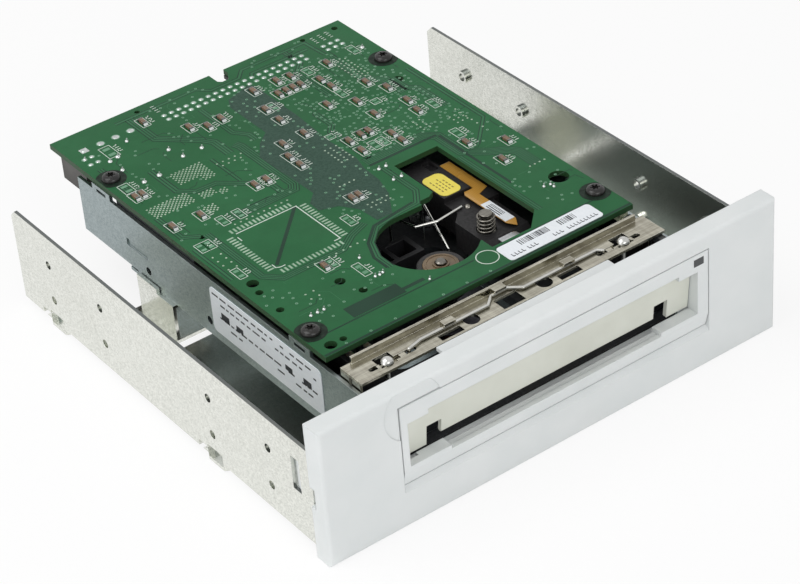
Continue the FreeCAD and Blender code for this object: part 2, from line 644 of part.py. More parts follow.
# ---------------------------------------------------------------- drive body
def drive_chassis():
    """Sheet channel: floor and two side walls, with bridges that carry the circuit board."""
    floor = box(-HALF_DRIVE, HALF_DRIVE, CHASSIS_FRONT, CHASSIS_FLOOR_REAR, DRIVE_BASE, FLOOR_TOP)
    walls = []
    for side in (-1, 1):
        rear_step = [(WALL_IN, CHASSIS_FRONT, DRIVE_BASE), (WALL_IN, CHASSIS_FLOOR_REAR - 4, DRIVE_BASE),
                     (WALL_IN, CHASSIS_FLOOR_REAR - 4, DRIVE_BASE + 1.6),
                     (WALL_IN, CHASSIS_REAR, DRIVE_BASE + 1.6), (WALL_IN, CHASSIS_REAR, WALL_TOP),
                     (WALL_IN, CHASSIS_FRONT, WALL_TOP)]
        pieces = [prism(rear_step, (CHASSIS_SHEET, 0, 0))]
        for y in (BOARD_SCREW_FRONT, BOARD_SCREW_REAR):
            for leg in (y - BRIDGE_HALF, y + BRIDGE_HALF - BRIDGE_LEG):
                pieces.append(box(WALL_IN, HALF_DRIVE, leg, leg + BRIDGE_LEG, WALL_TOP - 1, BOARD_BASE))
            pieces.append(box(BOARD_SCREW_X - BRIDGE_HALF, HALF_DRIVE, y - BRIDGE_HALF, y + BRIDGE_HALF,
                              BOARD_BASE - CHASSIS_SHEET, BOARD_BASE))
        walls += pieces if side > 0 else [mirror_x(piece) for piece in pieces]
    chassis = floor.fuse(walls)
    cuts = []
    for side in (-1, 1):
        for y in (BOARD_SCREW_FRONT, BOARD_SCREW_REAR):
            cuts.append(rod(side * BOARD_SCREW_X, y, BOARD_BASE - 2, BOARD_BASE + 1, M3_TAP_R))
        for y in (DRIVE_SIDE_SCREW_Y, DRIVE_SIDE_SCREW_Y + DRIVE_SIDE_SCREW_PITCH):
            hole = rod_x(-2, 2, y, DRIVE_BASE + DRIVE_SIDE_SCREW_RISE, M3_TAP_R)
            hole.translate(Vec(side * HALF_DRIVE, 0, 0))
            cuts.append(hole)
        rib = rounded_front(-RIB_DEPTH, RIB_DEPTH, 0, RIB_LENGTH, 0, RIB_HEIGHT, RIB_DEPTH / 2)
        rib.translate(Vec(side * HALF_DRIVE, RIB_Y, DRIVE_BASE + RIB_RISE))
        cuts.append(rib)
    for x, y in shelf_screws():
        cuts.append(rod(x, y, DRIVE_BASE - 1, FLOOR_TOP + 1, M3_TAP_R))
    cuts.append(rod(ARM_PIVOT_X, ARM_PIVOT_Y, DRIVE_BASE - 1, FLOOR_TOP + 1, ARM_PIN_R - 0.5))
    for x, y in deck_screw_places():
        cuts.append(rod(x, y, DRIVE_BASE - 1, FLOOR_TOP + 1, DECK_SCREW_R))
    return chassis.cut(cuts).removeSplitter()


def deck_screw_places():
    """Places of the screws that clamp the deck to the floor."""
    return [(side * DECK_SCREW_X, y) for side in (-1, 1) for y in (DECK_SCREW_FRONT, DECK_SCREW_REAR)]


def deck_frame():
    """Cast deck: the floor of the cartridge bay, open round the motor, with posts for the mechanism."""
    half = WALL_IN - SLIP
    deck = box(-half, half, DECK_FRONT, DECK_REAR, FLOOR_TOP, DECK_TOP)
    cuts = [rounded_plan(MOTOR_BAY_LEFT, MOTOR_BAY_RIGHT, MOTOR_BAY_FRONT, MOTOR_BAY_REAR, FLOOR_TOP - 1,
                         DECK_TOP + 1, DECK_OPENING_CORNER),
            rounded_plan(DECK_BORDER - half, half - DECK_BORDER, CARRIAGE_REAR + DECK_OPENING_AHEAD,
                         DECK_REAR - DECK_REAR_BORDER, FLOOR_TOP - 1, DECK_TOP + 1, DECK_OPENING_CORNER),
            rod(LEAD_SCREW_X, LEAD_SCREW_Y, FLOOR_TOP - 1, DECK_TOP + 1, STEPPER_R + SLIP),
            rod(GUIDE_POST_X, GUIDE_POST_Y, FLOOR_TOP - 1, DECK_TOP + 1, GUIDE_POST_R),
            rod(REAR_POST_X, REAR_POST_Y, FLOOR_TOP - 1, DECK_TOP + 1, GUIDE_POST_R)]
    for x, y in deck_screw_places():
        cuts.append(rod(x, y, FLOOR_TOP - 1, DECK_TOP + 1, DECK_SCREW_R))
    for x, y in shelf_screws():
        cuts.append(rod(x, y, FLOOR_TOP - 1, FLOOR_TOP + TRAY_SCREW_BITE + SLIP, M3_CLEAR_R))
    for x in LATCH_X:
        side = 1 if x > 0 else -1
        ends = (x - side * SLIP, x + side * (LATCH_TRAVEL + SLIP))
        slot = box(min(ends) - LATCH_PIN_R, max(ends) + LATCH_PIN_R, LATCH_Y - LATCH_PIN_R - RUNNING,
                   LATCH_Y + LATCH_PIN_R + RUNNING, DECK_TOP - 2, DECK_TOP + 1)
        cuts.append(slot)
    deck = deck.cut(cuts)
    rail_top = DECK_TOP + DECK_RAIL_HEIGHT
    wall = box(-half, DECK_RAIL - half, CARRIAGE_FRONT, CARRIAGE_REAR, DECK_TOP, rail_top)
    far_wall = box(half - DECK_RAIL, half, CARRIAGE_FRONT, CARRIAGE_REAR, DECK_TOP, rail_top)
    return join(deck, wall, far_wall)


def deck_screws():
    """Flat-headed screws that hold the deck down."""
    screws = []
    for x, y in deck_screw_places():
        screws.append(screw(x, y, DECK_TOP, DECK_SCREW_HEAD_R, DECK_SCREW_HEAD, DECK_SCREW_R,
                            DECK_THICKNESS + CHASSIS_SHEET * 0.8, DECK_SCREW_RECESS_R))
    return Part.makeCompound(screws)


def cartridge_guide(side):
    """Side rail that lines the cartridge up behind the latch roller."""
    inner = SLOT_CENTRE_X + side * (SLOT_WIDTH / 2 + SLIP)
    outer = side * (WALL_IN - SLIP)
    x0, x1 = min(inner, outer), max(inner, outer)
    rail = box(x0, x1, GUIDE_FRONT, GUIDE_REAR, DECK_TOP, DECK_TOP + GUIDE_HEIGHT)
    lead = prism([(inner, GUIDE_FRONT - 0.01, DECK_TOP - 1),
                  (inner + side * GUIDE_LEAD, GUIDE_FRONT - 0.01, DECK_TOP - 1),
                  (inner, GUIDE_FRONT + GUIDE_LEAD, DECK_TOP - 1)], (0, 0, GUIDE_HEIGHT + 2))
    pocket = box(x0 + GUIDE_WALL, x1 - GUIDE_WALL, GUIDE_FRONT + GUIDE_LEAD + 1, GUIDE_REAR - GUIDE_WALL,
                 DECK_TOP + 3, DECK_TOP + GUIDE_HEIGHT + 1)
    return rail.cut([lead, pocket])


# ---------------------------------------------------------------- fascia, door and lamp
def inner_bezel():
    """Drive's own fascia: stepped cartridge slot, sill, chin, side cheeks and a short roof."""
    half = FASCIA_WIDTH / 2
    shell = box(-half, half, 0, FASCIA_DEPTH, FASCIA_LOW, FASCIA_TOP)
    hollow = box(EAR_LEFT, EAR_RIGHT, FASCIA_WALL, FASCIA_DEPTH + 1, SILL_TOP - SLIP,
                 FASCIA_TOP - FASCIA_ROOF)
    cellar = box(EAR_LEFT, EAR_RIGHT, SILL_DEPTH - SLIP, FASCIA_DEPTH + 1, FASCIA_LOW + FASCIA_WALL,
                 SILL_TOP)
    mouth = box(SLOT_LEFT, SLOT_RIGHT, -1, FASCIA_DEPTH, SILL_TOP, SLOT_TOP)
    ears = box(EAR_LEFT, EAR_RIGHT, -1, FASCIA_DEPTH, SILL_TOP, SLOT_TOP - SLOT_EAR_DROP)
    chin = prism([(-half - 1, -0.01, SILL_TOP - SLIP), (-half - 1, -0.01, FASCIA_LOW - 0.01),
                  (-half - 1, FASCIA_CHIN_SET, FASCIA_LOW - 0.01)], (FASCIA_WIDTH + 2, 0, 0))
    shell = shell.cut([hollow, cellar, mouth, ears, chin])
    roof = box(-FASCIA_ROOF_HALF, FASCIA_ROOF_HALF, FASCIA_WALL, FASCIA_ROOF_LENGTH,
               FASCIA_TOP - FASCIA_ROOF, FASCIA_TOP)
    steps = []
    table_left, table_right = SLOT_CENTRE_X - SILL_TABLE_HALF, SLOT_CENTRE_X + SILL_TABLE_HALF
    for x0, x1 in ((EAR_LEFT, table_left), (table_right, EAR_RIGHT)):
        steps.append(box(x0, x1, 0, SILL_DEPTH, SILL_TOP - SLIP, SILL_TOP + SILL_EAR_RISE))
    tongues = []
    for side in (-1, 1):
        outer = WALL_IN - SLIP
        tongue = box(outer - FASCIA_WALL, outer, FASCIA_DEPTH - 1, FASCIA_DEPTH + TONGUE_LENGTH,
                     SILL_TOP + 3, SILL_TOP + 11)
        tongues.append(tongue if side > 0 else mirror_x(tongue))
    pin_rib = box(DOOR_BARREL_RIGHT + SLIP, DOOR_BARREL_RIGHT + SLIP + FASCIA_WALL, FASCIA_WALL / 2,
                  DOOR_HINGE_Y + 2, DOOR_HINGE_Z - 1.4, FASCIA_TOP - FASCIA_ROOF + 0.5)
    shell = join(shell, roof, pin_rib, *steps, *tongues)
    lens_low = FASCIA_TOP - LENS_BELOW_TOP - LENS_HEIGHT / 2
    lens_hole = box(LENS_X - LENS_WIDTH / 2, LENS_X + LENS_WIDTH / 2, -1, FASCIA_WALL + 0.01,
                    lens_low, lens_low + LENS_HEIGHT)
    pipe_left, pipe_right = pipe_sides()
    pipe_way = box(pipe_left - SLIP, pipe_right + SLIP, FASCIA_WALL, FASCIA_DEPTH + 1,
                   lens_low - SLIP, lens_low + LENS_HEIGHT + SLIP)
    pin_bore = rod_x(-half + 0.6, DOOR_BARREL_RIGHT + 3, DOOR_HINGE_Y, DOOR_HINGE_Z, DOOR_PIN_R)
    drain = box(EAR_LEFT + 0.8, EAR_LEFT + 4.2, SILL_DEPTH - 1.2, SILL_DEPTH + 1, SILL_TOP - 3,
                SILL_TOP + SILL_EAR_RISE + 1)
    return shell.cut([lens_hole, pipe_way, pin_bore, drain]).removeSplitter()


def pipe_sides():
    """Left and right faces of the light pipe behind its lens."""
    left = EAR_RIGHT + SLIP
    return left, left + PIPE_WIDTH


def activity_lens():
    """Grey lens in the fascia and the light pipe that runs back to the lamp."""
    low = FASCIA_TOP - LENS_BELOW_TOP - LENS_HEIGHT / 2
    left, right = pipe_sides()
    lens = box(LENS_X - LENS_WIDTH / 2, LENS_X + LENS_WIDTH / 2, 0, FASCIA_WALL, low, low + LENS_HEIGHT)
    stem = box(left, right, FASCIA_WALL, PIPE_BEND_Y, low, low + LENS_HEIGHT)
    pipe_top = PLATE_BASE - SLIP
    drop = box(left, right, PIPE_BEND_Y - PIPE_WIDTH, PIPE_BEND_Y, pipe_top - PIPE_WIDTH, low + LENS_HEIGHT)
    tail = box(left, right, PIPE_BEND_Y - PIPE_WIDTH, LAMP_Y - SLIP, pipe_top - PIPE_WIDTH, pipe_top)
    return join(lens, stem, drop, tail)


def activity_lamp():
    """Small lamp under the board's front edge, facing the light pipe."""
    left, right = pipe_sides()
    middle = (left + right) / 2
    axis_z = PLATE_BASE - SLIP - PIPE_WIDTH / 2
    body = box(left - 0.4, right + 0.4, LAMP_Y + 1.0, LAMP_Y + 4.0, axis_z - 1.4, BOARD_BASE)
    dome = rod_y(middle, LAMP_Y + 0.6, LAMP_Y + 1.0, axis_z, 1.0)
    tip = Part.makeSphere(0.6, Vec(middle, LAMP_Y + 0.6, axis_z))
    return join(body, dome, tip)


def door_local(y, z):
    """A point given across and down the door, turned to the door's resting lean."""
    lean = math.radians(DOOR_LEAN)
    return (DOOR_HINGE_Y + y * math.cos(lean) + z * math.sin(lean),
            DOOR_HINGE_Z + y * math.sin(lean) - z * math.cos(lean))


def door_flap():
    """Cream flap: hinge barrel, wide panel and a longer leaf at each end beside a notch."""
    half = DOOR_THICKNESS / 2
    left = EAR_LEFT + SLIP
    right = EAR_RIGHT - SLIP
    barrel = rod_x(left, DOOR_BARREL_RIGHT, 0, 0, DOOR_BARREL_R)
    upper = box(left, DOOR_BARREL_RIGHT, -half, half, -DOOR_NOTCH_LENGTH, 0)
    shoulder = box(DOOR_BARREL_RIGHT - 1, right, -half, half, -DOOR_NOTCH_LENGTH, -DOOR_SHOULDER)
    leaf_left = box(left, SLOT_LEFT + DOOR_LEAF_OVERLAP, -half, half, -DOOR_LEAF_LENGTH,
                    -DOOR_NOTCH_LENGTH + 1)
    leaf_right = box(SLOT_RIGHT - DOOR_LEAF_OVERLAP, right, -half, half, -DOOR_LEAF_LENGTH,
                     -DOOR_NOTCH_LENGTH + 1)
    panel_left = SLOT_LEFT + DOOR_LEAF_OVERLAP + DOOR_NOTCH_WIDTH
    panel_right = SLOT_RIGHT - DOOR_LEAF_OVERLAP - DOOR_NOTCH_WIDTH
    panel = box(panel_left, panel_right, -half, half, -DOOR_PANEL_LENGTH, -DOOR_NOTCH_LENGTH + 1)
    lower_edge = [e for e in panel.Edges if e.BoundBox.ZMax < -DOOR_PANEL_LENGTH + 0.1 and e.Length > 5]
    panel = panel.makeFillet(half * 0.7, lower_edge)
    rail_y = half + DOOR_RAIL
    rails = [box(x, x + DOOR_RAIL, 0, rail_y, -DOOR_NOTCH_LENGTH + 1, -DOOR_BARREL_R - 1)
             for x in (panel_left + 6, panel_right - 6 - DOOR_RAIL)]
    flap = join(barrel, upper, shoulder, leaf_left, leaf_right, panel, *rails)
    spring_gap = box(SPRING_X - SPRING_HALF - SLIP, SPRING_X + SPRING_HALF + SLIP, -2 * DOOR_BARREL_R,
                     2 * DOOR_BARREL_R, -DOOR_BARREL_R - SPRING_ROOM, 2 * DOOR_BARREL_R)
    bore = rod_x(left - 1, DOOR_BARREL_RIGHT + 1, 0, 0, DOOR_PIN_R + RUNNING)
    flap = flap.cut([spring_gap, bore])
    flap.rotate(Vec(0, 0, 0), Vec(1, 0, 0), DOOR_LEAN)
    flap.translate(Vec(0, DOOR_HINGE_Y, DOOR_HINGE_Z))
    return flap.removeSplitter()


def door_pin():
    """Steel hinge pin of the door."""
    return rod_x(-FASCIA_WIDTH / 2 + 0.6, DOOR_BARREL_RIGHT + SLIP + FASCIA_WALL, DOOR_HINGE_Y,
                 DOOR_HINGE_Z, DOOR_PIN_R)


def door_spring():
    """Torsion spring on the door pin: close rings, one leg under the roof and one behind the panel."""
    mean_r = DOOR_PIN_R + RUNNING * 2 + DOOR_SPRING_WIRE
    rings = []
    count = 6
    for turn in range(count):
        x = SPRING_X + (turn - (count - 1) / 2) * DOOR_SPRING_WIRE * 1.8
        middle = Vec(x, DOOR_HINGE_Y, DOOR_HINGE_Z)
        rings.append(Part.makeTorus(mean_r, DOOR_SPRING_WIRE, middle, Vec(1, 0, 0)))
    reach = (count - 1) / 2 * DOOR_SPRING_WIRE * 1.8
    rise = FASCIA_TOP - FASCIA_ROOF - DOOR_HINGE_Z - DOOR_SPRING_WIRE
    roof_leg = rod(SPRING_X + reach, DOOR_HINGE_Y + mean_r, DOOR_HINGE_Z, DOOR_HINGE_Z + rise,
                   DOOR_SPRING_WIRE)
    y_end, z_end = door_local(DOOR_THICKNESS / 2 + DOOR_SPRING_WIRE * 1.2, SPRING_LEG_REACH)
    start = Vec(SPRING_X - reach, DOOR_HINGE_Y + mean_r, DOOR_HINGE_Z)
    run = Vec(SPRING_X - reach, y_end, z_end) - start
    door_leg = Part.makeCylinder(DOOR_SPRING_WIRE, run.Length, start, run)
    return join(rings[0], *rings[1:], roof_leg, door_leg)


# ---------------------------------------------------------------- front plate and cartridge latch
def front_plate():
    """Nickelled bridge over the mouth of the cartridge bay, with an upturned rear lip."""
    half = WALL_IN - SLIP
    rear = PLATE_FRONT + PLATE_DEPTH
    top = box(-half, half, PLATE_FRONT, rear, PLATE_BASE, PLATE_TOP)
    lip = box(-half + 3, half - 3, rear - PLATE_SHEET, rear, PLATE_BASE, PLATE_TOP + PLATE_LIP)
    feet = []
    for side in (-1, 1):
        foot = box(half - PLATE_SHEET, half, PLATE_FRONT + 1, PLATE_FRONT + 1 + PLATE_FOOT_WIDTH,
                   DECK_TOP, PLATE_TOP)
        rear_foot = box(half - PLATE_SHEET, half, rear - PLATE_FOOT_WIDTH, rear, DECK_TOP, PLATE_TOP)
        feet += [foot, rear_foot] if side > 0 else [mirror_x(foot), mirror_x(rear_foot)]
    plate = join(top, lip, *feet)
    cuts = []
    for x in LATCH_X:
        side = 1 if x > 0 else -1
        cuts.append(box(x - T_HOLE_WIDTH / 2, x + T_HOLE_WIDTH / 2, LATCH_Y - T_HOLE_AHEAD,
                        LATCH_Y + T_HOLE_BEHIND, PLATE_BASE - 1, PLATE_TOP + 1))
        inner = x - side * LATCH_INNER_SLOT
        outer = x + side * LATCH_OUTER_SLOT
        cuts.append(rounded_plan(min(inner, outer), max(inner, outer), LATCH_Y - LATCH_GUIDE / 2,
                                 LATCH_Y + LATCH_GUIDE / 2, PLATE_BASE - 1, PLATE_TOP + 1,
                                 LATCH_GUIDE / 2 - 0.02))
        window_x = SLOT_CENTRE_X + side * PLATE_WINDOW_X
        cuts.append(box(window_x - 3.5, window_x + 3.5, PLATE_FRONT + 0.8, PLATE_FRONT + 3.2,
                        PLATE_BASE - 1, PLATE_TOP + 1))
        cuts.append(rod(SLOT_CENTRE_X + side * 11.9, LATCH_Y - 0.1, PLATE_BASE - 1, PLATE_TOP + 1, 2.2))
    cuts.append(box(SLOT_CENTRE_X - 3.0, SLOT_CENTRE_X + 4.0, PLATE_FRONT + 0.8, PLATE_FRONT + 5.6,
                    PLATE_BASE - 1, PLATE_TOP + 1))
    plate = plate.cut(cuts)
    hooks = []
    for hook_x, hook_y in latch_wire_hooks():
        low_y = hook_y + LATCH_WIRE_R + 0.05
        over_wire = PLATE_TOP + 2 * LATCH_WIRE_R + 0.1
        hooks.append(box(hook_x, hook_x + HOOK_WIDTH, low_y, low_y + PLATE_SHEET, PLATE_TOP - 0.2,
                         over_wire + PLATE_SHEET))
        hooks.append(box(hook_x, hook_x + HOOK_WIDTH, low_y - HOOK_REACH, low_y + PLATE_SHEET, over_wire,
                         over_wire + PLATE_SHEET))
    return join(plate, *hooks)


def latch_wire_hooks():
    """Left end and wire line of each hook that holds the latch wire down."""
    return [(SLOT_CENTRE_X - PLATE_WINDOW_X - 0.6, WIRE_Y), (SLOT_CENTRE_X - 1.6, WIRE_Y + WIRE_BUMP),
            (SLOT_CENTRE_X + PLATE_WINDOW_X - 0.4, WIRE_Y)]


def latch_wire():
    """Bent spring wire that lies on the front plate and bears on both latch carriers."""
    z = PLATE_TOP + LATCH_WIRE_R + 0.02
    end = LATCH_REACH - LATCH_WIRE_END
    low = PLATE_TOP - LATCH_WIRE_R - 0.3
    line = [(-end, LATCH_Y, low), (-end, LATCH_Y, z), (4.4 - end, WIRE_Y, z), (-5.6, WIRE_Y, z),
            (-2.6, WIRE_Y + WIRE_BUMP, z), (2.8, WIRE_Y + WIRE_BUMP, z), (6.0, WIRE_Y, z),
            (end - 1.2, WIRE_Y, z), (end, LATCH_Y, z), (end, LATCH_Y, low)]
    points = [(SLOT_CENTRE_X + x, y, level) for x, y, level in line]
    return wire_rod(points, LATCH_WIRE_R)


def latch_carrier(x):
    """Slider under the front plate with a guide lug in each slot and a hole for the latch pin."""
    side = 1 if x > 0 else -1
    top = PLATE_BASE - CARRIER_GAP
    inner = x - side * (LATCH_INNER_SLOT - LATCH_CARRIER_SHORT)
    outer = x + side * (LATCH_OUTER_SLOT - LATCH_TRAVEL - SLIP)
    x0, x1 = min(inner, outer), max(inner, outer)
    bar = box(x0, x1, LATCH_Y - LATCH_CARRIER_HALF, LATCH_Y + LATCH_CARRIER_HALF,
              top - CARRIER_THICKNESS, top)
    lug_half = LATCH_GUIDE / 2 - 0.1
    lug_x = x - side * (LATCH_INNER_SLOT - LATCH_CARRIER_SHORT - 1.2)
    lugs = []
    for middle, reach in ((outer - side * CARRIER_LUG / 4, CARRIER_LUG / 4), (lug_x, CARRIER_LUG / 2)):
        lugs.append(box(middle - reach, middle + reach, LATCH_Y - lug_half, LATCH_Y + lug_half, top - 0.5,
                        PLATE_TOP - 0.1))
    hole = rod(x, LATCH_Y, top - CARRIER_THICKNESS - 1, top + 1, LATCH_PIN_R)
    return join(bar, *lugs).cut(hole)


def latch_pin(x):
    """Domed steel pin that carries the latch roller, running in a slot of the deck."""
    base = PLATE_TOP + DOME_GAP
    shank = rod(x, LATCH_Y, DECK_TOP - 1.6, base, LATCH_PIN_R)
    dome = Part.makeSphere(LATCH_DOME_R, Vec(x, LATCH_Y, base - LATCH_DOME_R * 0.3))
    dome = dome.common(box(x - 5, x + 5, LATCH_Y - 5, LATCH_Y + 5, base, base + 5))
    collar_z = DECK_TOP + LATCH_ROLLER_LIFT
    collar = rod(x, LATCH_Y, collar_z - 1.0, collar_z - RUNNING, LATCH_PIN_R + 0.5)
    return join(shank, dome, collar)


def latch_roller(x):
    """Grooved roller that drops into the notch in the side of a cartridge."""
    low = DECK_TOP + LATCH_ROLLER_LIFT
    high = low + LATCH_ROLLER_LENGTH
    roller = tube(x, LATCH_Y, low, high, LATCH_ROLLER_R, LATCH_PIN_R + RUNNING)
    rims = [e for e in roller.Edges if e.Closed and abs(e.BoundBox.XLength - 2 * LATCH_ROLLER_R) < 0.01]
    roller = roller.makeChamfer(0.3, rims)
    middle = (low + high) / 2
    groove = tube(x, LATCH_Y, middle - 0.5, middle + 0.5, LATCH_ROLLER_R + 1, LATCH_ROLLER_R - 0.3)
    return roller.cut(groove)


# ---------------------------------------------------------------- circuit board and what it carries
def board_x(x):
    """A stated place across the board, moved in proportion when the board's width changes."""
    return x * BOARD_WIDTH / BOARD_TABLE_WIDTH


def circuit_board():
    """Main board with the key notch at the rear and the window over the head and the capstan."""
    half = BOARD_WIDTH / 2
    board = box(-half, half, BOARD_FRONT, BOARD_REAR, BOARD_BASE, BOARD_TOP)
    z0, z1 = BOARD_BASE - 1, BOARD_TOP + 1
    left = WINDOW_RIGHT - WINDOW_WIDTH
    round_y = WINDOW_FRONT + WINDOW_ROUND_R + 0.4
    wide_left = left - WINDOW_STEP
    cuts = [box(left, WINDOW_RIGHT, round_y, WINDOW_REAR, z0, z1),
            prism([(wide_left, WINDOW_FRONT, z0), (WINDOW_RIGHT - WINDOW_CORNER, WINDOW_FRONT, z0),
                   (WINDOW_RIGHT, WINDOW_FRONT + WINDOW_CORNER, z0), (WINDOW_RIGHT, round_y + 1, z0),
                   (wide_left, round_y + 1, z0)], (0, 0, z1 - z0)),
            rod(0, round_y, z0, z1, WINDOW_ROUND_R),
            box(0, left + 1, WINDOW_FRONT + WINDOW_STEP, round_y + WINDOW_ROUND_R, z0, z1),
            prism([(left - 6, round_y, z0), (left + 0.5, round_y, z0),
                   (left + 0.5, round_y + WINDOW_ROUND_R + 3.4, z0),
                   (left - 2.2, round_y + WINDOW_ROUND_R + 1.8, z0),
                   (left - 6, round_y + WINDOW_ROUND_R + 1.8, z0)], (0, 0, z1 - z0))]
    key_left = HEADER_CENTRE_X - BOARD_KEY_WIDTH / 2
    cuts.append(prism([(key_left, BOARD_REAR + 1, z0), (key_left, BOARD_REAR - BOARD_KEY_DEPTH + 1, z0),
                       (key_left + 1, BOARD_REAR - BOARD_KEY_DEPTH, z0),
                       (key_left + BOARD_KEY_WIDTH - 1.8, BOARD_REAR - BOARD_KEY_DEPTH, z0),
                       (key_left + BOARD_KEY_WIDTH, BOARD_REAR - 2.2, z0),
                       (key_left + BOARD_KEY_WIDTH, BOARD_REAR + 1, z0)], (0, 0, z1 - z0)))
    for side in (-1, 1):
        for y in (BOARD_SCREW_FRONT, BOARD_SCREW_REAR):
            cuts.append(rod(side * BOARD_SCREW_X, y, z0, z1, M3_CLEAR_R))
    for x, y, radius in BOARD_HOLES:
        cuts.append(rod(board_x(x), y, z0, z1, radius))
    return board.cut(cuts)


def board_screws():
    """Four black pan-head screws through the board into the chassis bridges."""
    screws = []
    for side in (-1, 1):
        for y in (BOARD_SCREW_FRONT, BOARD_SCREW_REAR):
            screws.append(screw(side * BOARD_SCREW_X, y, BOARD_TOP, BOARD_SCREW_HEAD_R, BOARD_SCREW_HEAD,
                                M3_TAP_R, BOARD_THICKNESS + CHASSIS_SHEET + BOARD_SCREW_BITE,
                                BOARD_SCREW_RECESS_R))
    return Part.makeCompound(screws)


def surface_capacitors():
    """Chip capacitors on the board's upper side."""
    chips = []
    for x, y in CHIP_PLACES:
        left = board_x(x) - CHIP_WIDTH / 2
        chips.append(box(left, left + CHIP_WIDTH, y - CHIP_LENGTH / 2, y + CHIP_LENGTH / 2, BOARD_TOP,
                         BOARD_TOP + CHIP_HEIGHT))
    return Part.makeCompound(chips)


def controller_chips():
    """Large flat packages under the board, with their rows of leads as one skirt each."""
    chips = []
    for x, y, width, length in CHIP_PACKAGES:
        top = BOARD_BASE
        body = rounded_plan(x - width / 2, x + width / 2, y - length / 2, y + length / 2,
                            top - PACKAGE_HEIGHT, top - 0.3, 0.8)
        leads = []
        count = int(width / LEAD_PITCH) - 1
        for number in range(count):
            lead_x = x + (number - (count - 1) / 2) * LEAD_PITCH
            leads.append(box(lead_x - 0.3, lead_x + 0.3, y - length / 2 - 1.0, y + length / 2 + 1.0,
                             top - 0.3, top))
        chips.append(body.fuse(leads))
    return Part.makeCompound(chips)


def filter_capacitors():
    """Upright can capacitors that hang under the power end of the board."""
    cans = []
    for place_x, y in CAN_PLACES:
        x = board_x(place_x)
        can = rod(x, y, BOARD_BASE - CAN_HEIGHT, BOARD_BASE - 0.8, CAN_R)
        ends = [e for e in can.Edges if e.Closed and e.BoundBox.ZMax < BOARD_BASE - CAN_HEIGHT + 0.1]
        can = can.makeFillet(0.5, ends)
        foot = box(x - CAN_R, x + CAN_R, y - CAN_R, y + CAN_R, BOARD_BASE - 0.8, BOARD_BASE)
        cans.append(join(can, foot))
    return Part.makeCompound(cans)


def clock_crystal():
    """Metal-cased crystal under the board."""
    half_length = CRYSTAL_LENGTH / 2
    half_width = CRYSTAL_WIDTH / 2
    can = rounded_plan(CRYSTAL_X - half_length, CRYSTAL_X + half_length, CRYSTAL_Y - half_width,
                       CRYSTAL_Y + half_width, BOARD_BASE - 3.5, BOARD_BASE - 0.4, half_width - 0.1)
    flange = rounded_plan(CRYSTAL_X - half_length - 0.4, CRYSTAL_X + half_length + 0.4,
                          CRYSTAL_Y - half_width - 0.4, CRYSTAL_Y + half_width + 0.4,
                          BOARD_BASE - 0.4, BOARD_BASE, half_width)
    return join(can, flange)


def power_connector():
    """Four-way power inlet under the rear corner, open to the rear with two clipped corners."""
    x0 = POWER_CENTRE_X - POWER_WIDTH / 2
    x1 = POWER_CENTRE_X + POWER_WIDTH / 2
    y1 = BOARD_REAR - 0.4
    y0 = y1 - POWER_DEPTH
    z1 = BOARD_BASE
    z0 = z1 - POWER_HEIGHT
    body = box(x0, x1, y0, y1, z0, z1)
    wall = POWER_WALL
    corner = 2.4
    socket = prism([(x0 + wall, y0 + 3, z1 - wall), (x1 - wall, y0 + 3, z1 - wall),
                    (x1 - wall, y0 + 3, z0 + wall + corner), (x1 - wall - corner, y0 + 3, z0 + wall),
                    (x0 + wall + corner, y0 + 3, z0 + wall), (x0 + wall, y0 + 3, z0 + wall + corner)],
                   (0, POWER_DEPTH, 0))
    ways = [rod_y(x, y0 - 1, y1, (z0 + z1) / 2, 1.05) for x in pin_row(POWER_CENTRE_X, 4, POWER_PITCH)]
    return body.cut([socket] + ways)


def pin_row(centre, count, pitch):
    """Places of evenly spaced pins about a centre."""
    return [centre + (number - (count - 1) / 2) * pitch for number in range(count)]


def power_pins():
    """Four round contact pins of the power inlet, each bent up into the board."""
    y1 = BOARD_REAR - 0.4
    y0 = y1 - POWER_DEPTH
    middle = BOARD_BASE - POWER_HEIGHT / 2
    pins = []
    for x in pin_row(POWER_CENTRE_X, 4, POWER_PITCH):
        pin = rod_y(x, y0 - 2.0, y1 - 3.5, middle, 1.05)
        tip = Part.makeSphere(1.05, Vec(x, y1 - 3.5, middle))
        tail = rod(x, y0 - 2.0, middle, BOARD_BASE, 0.8)
        bend = Part.makeSphere(1.05, Vec(x, y0 - 2.0, middle))
        pins.append(join(pin, tip, tail, bend))
    return Part.makeCompound(pins)


def data_header():
    """Boxed two-row header under the rear edge, with a key gap in its upper wall."""
    half = HEADER_HALF
    y1 = BOARD_REAR - 0.4
    y0 = y1 - HEADER_DEPTH
    z1 = BOARD_BASE
    z0 = z1 - HEADER_HEIGHT
    body = box(HEADER_CENTRE_X - half, HEADER_CENTRE_X + half, y0, y1, z0, z1)
    socket = box(HEADER_CENTRE_X - half + HEADER_WALL, HEADER_CENTRE_X + half - HEADER_WALL,
                 y0 + 2.4, y1 + 1, z0 + HEADER_WALL, z1 - HEADER_WALL)
    key = box(HEADER_CENTRE_X - BOARD_KEY_WIDTH / 2 + 0.3, HEADER_CENTRE_X + BOARD_KEY_WIDTH / 2 - 0.3,
              y0 + 2.4, y1 + 1, z1 - HEADER_WALL - 1, z1 + 1)
    return body.cut([socket, key]).cut(header_pins())


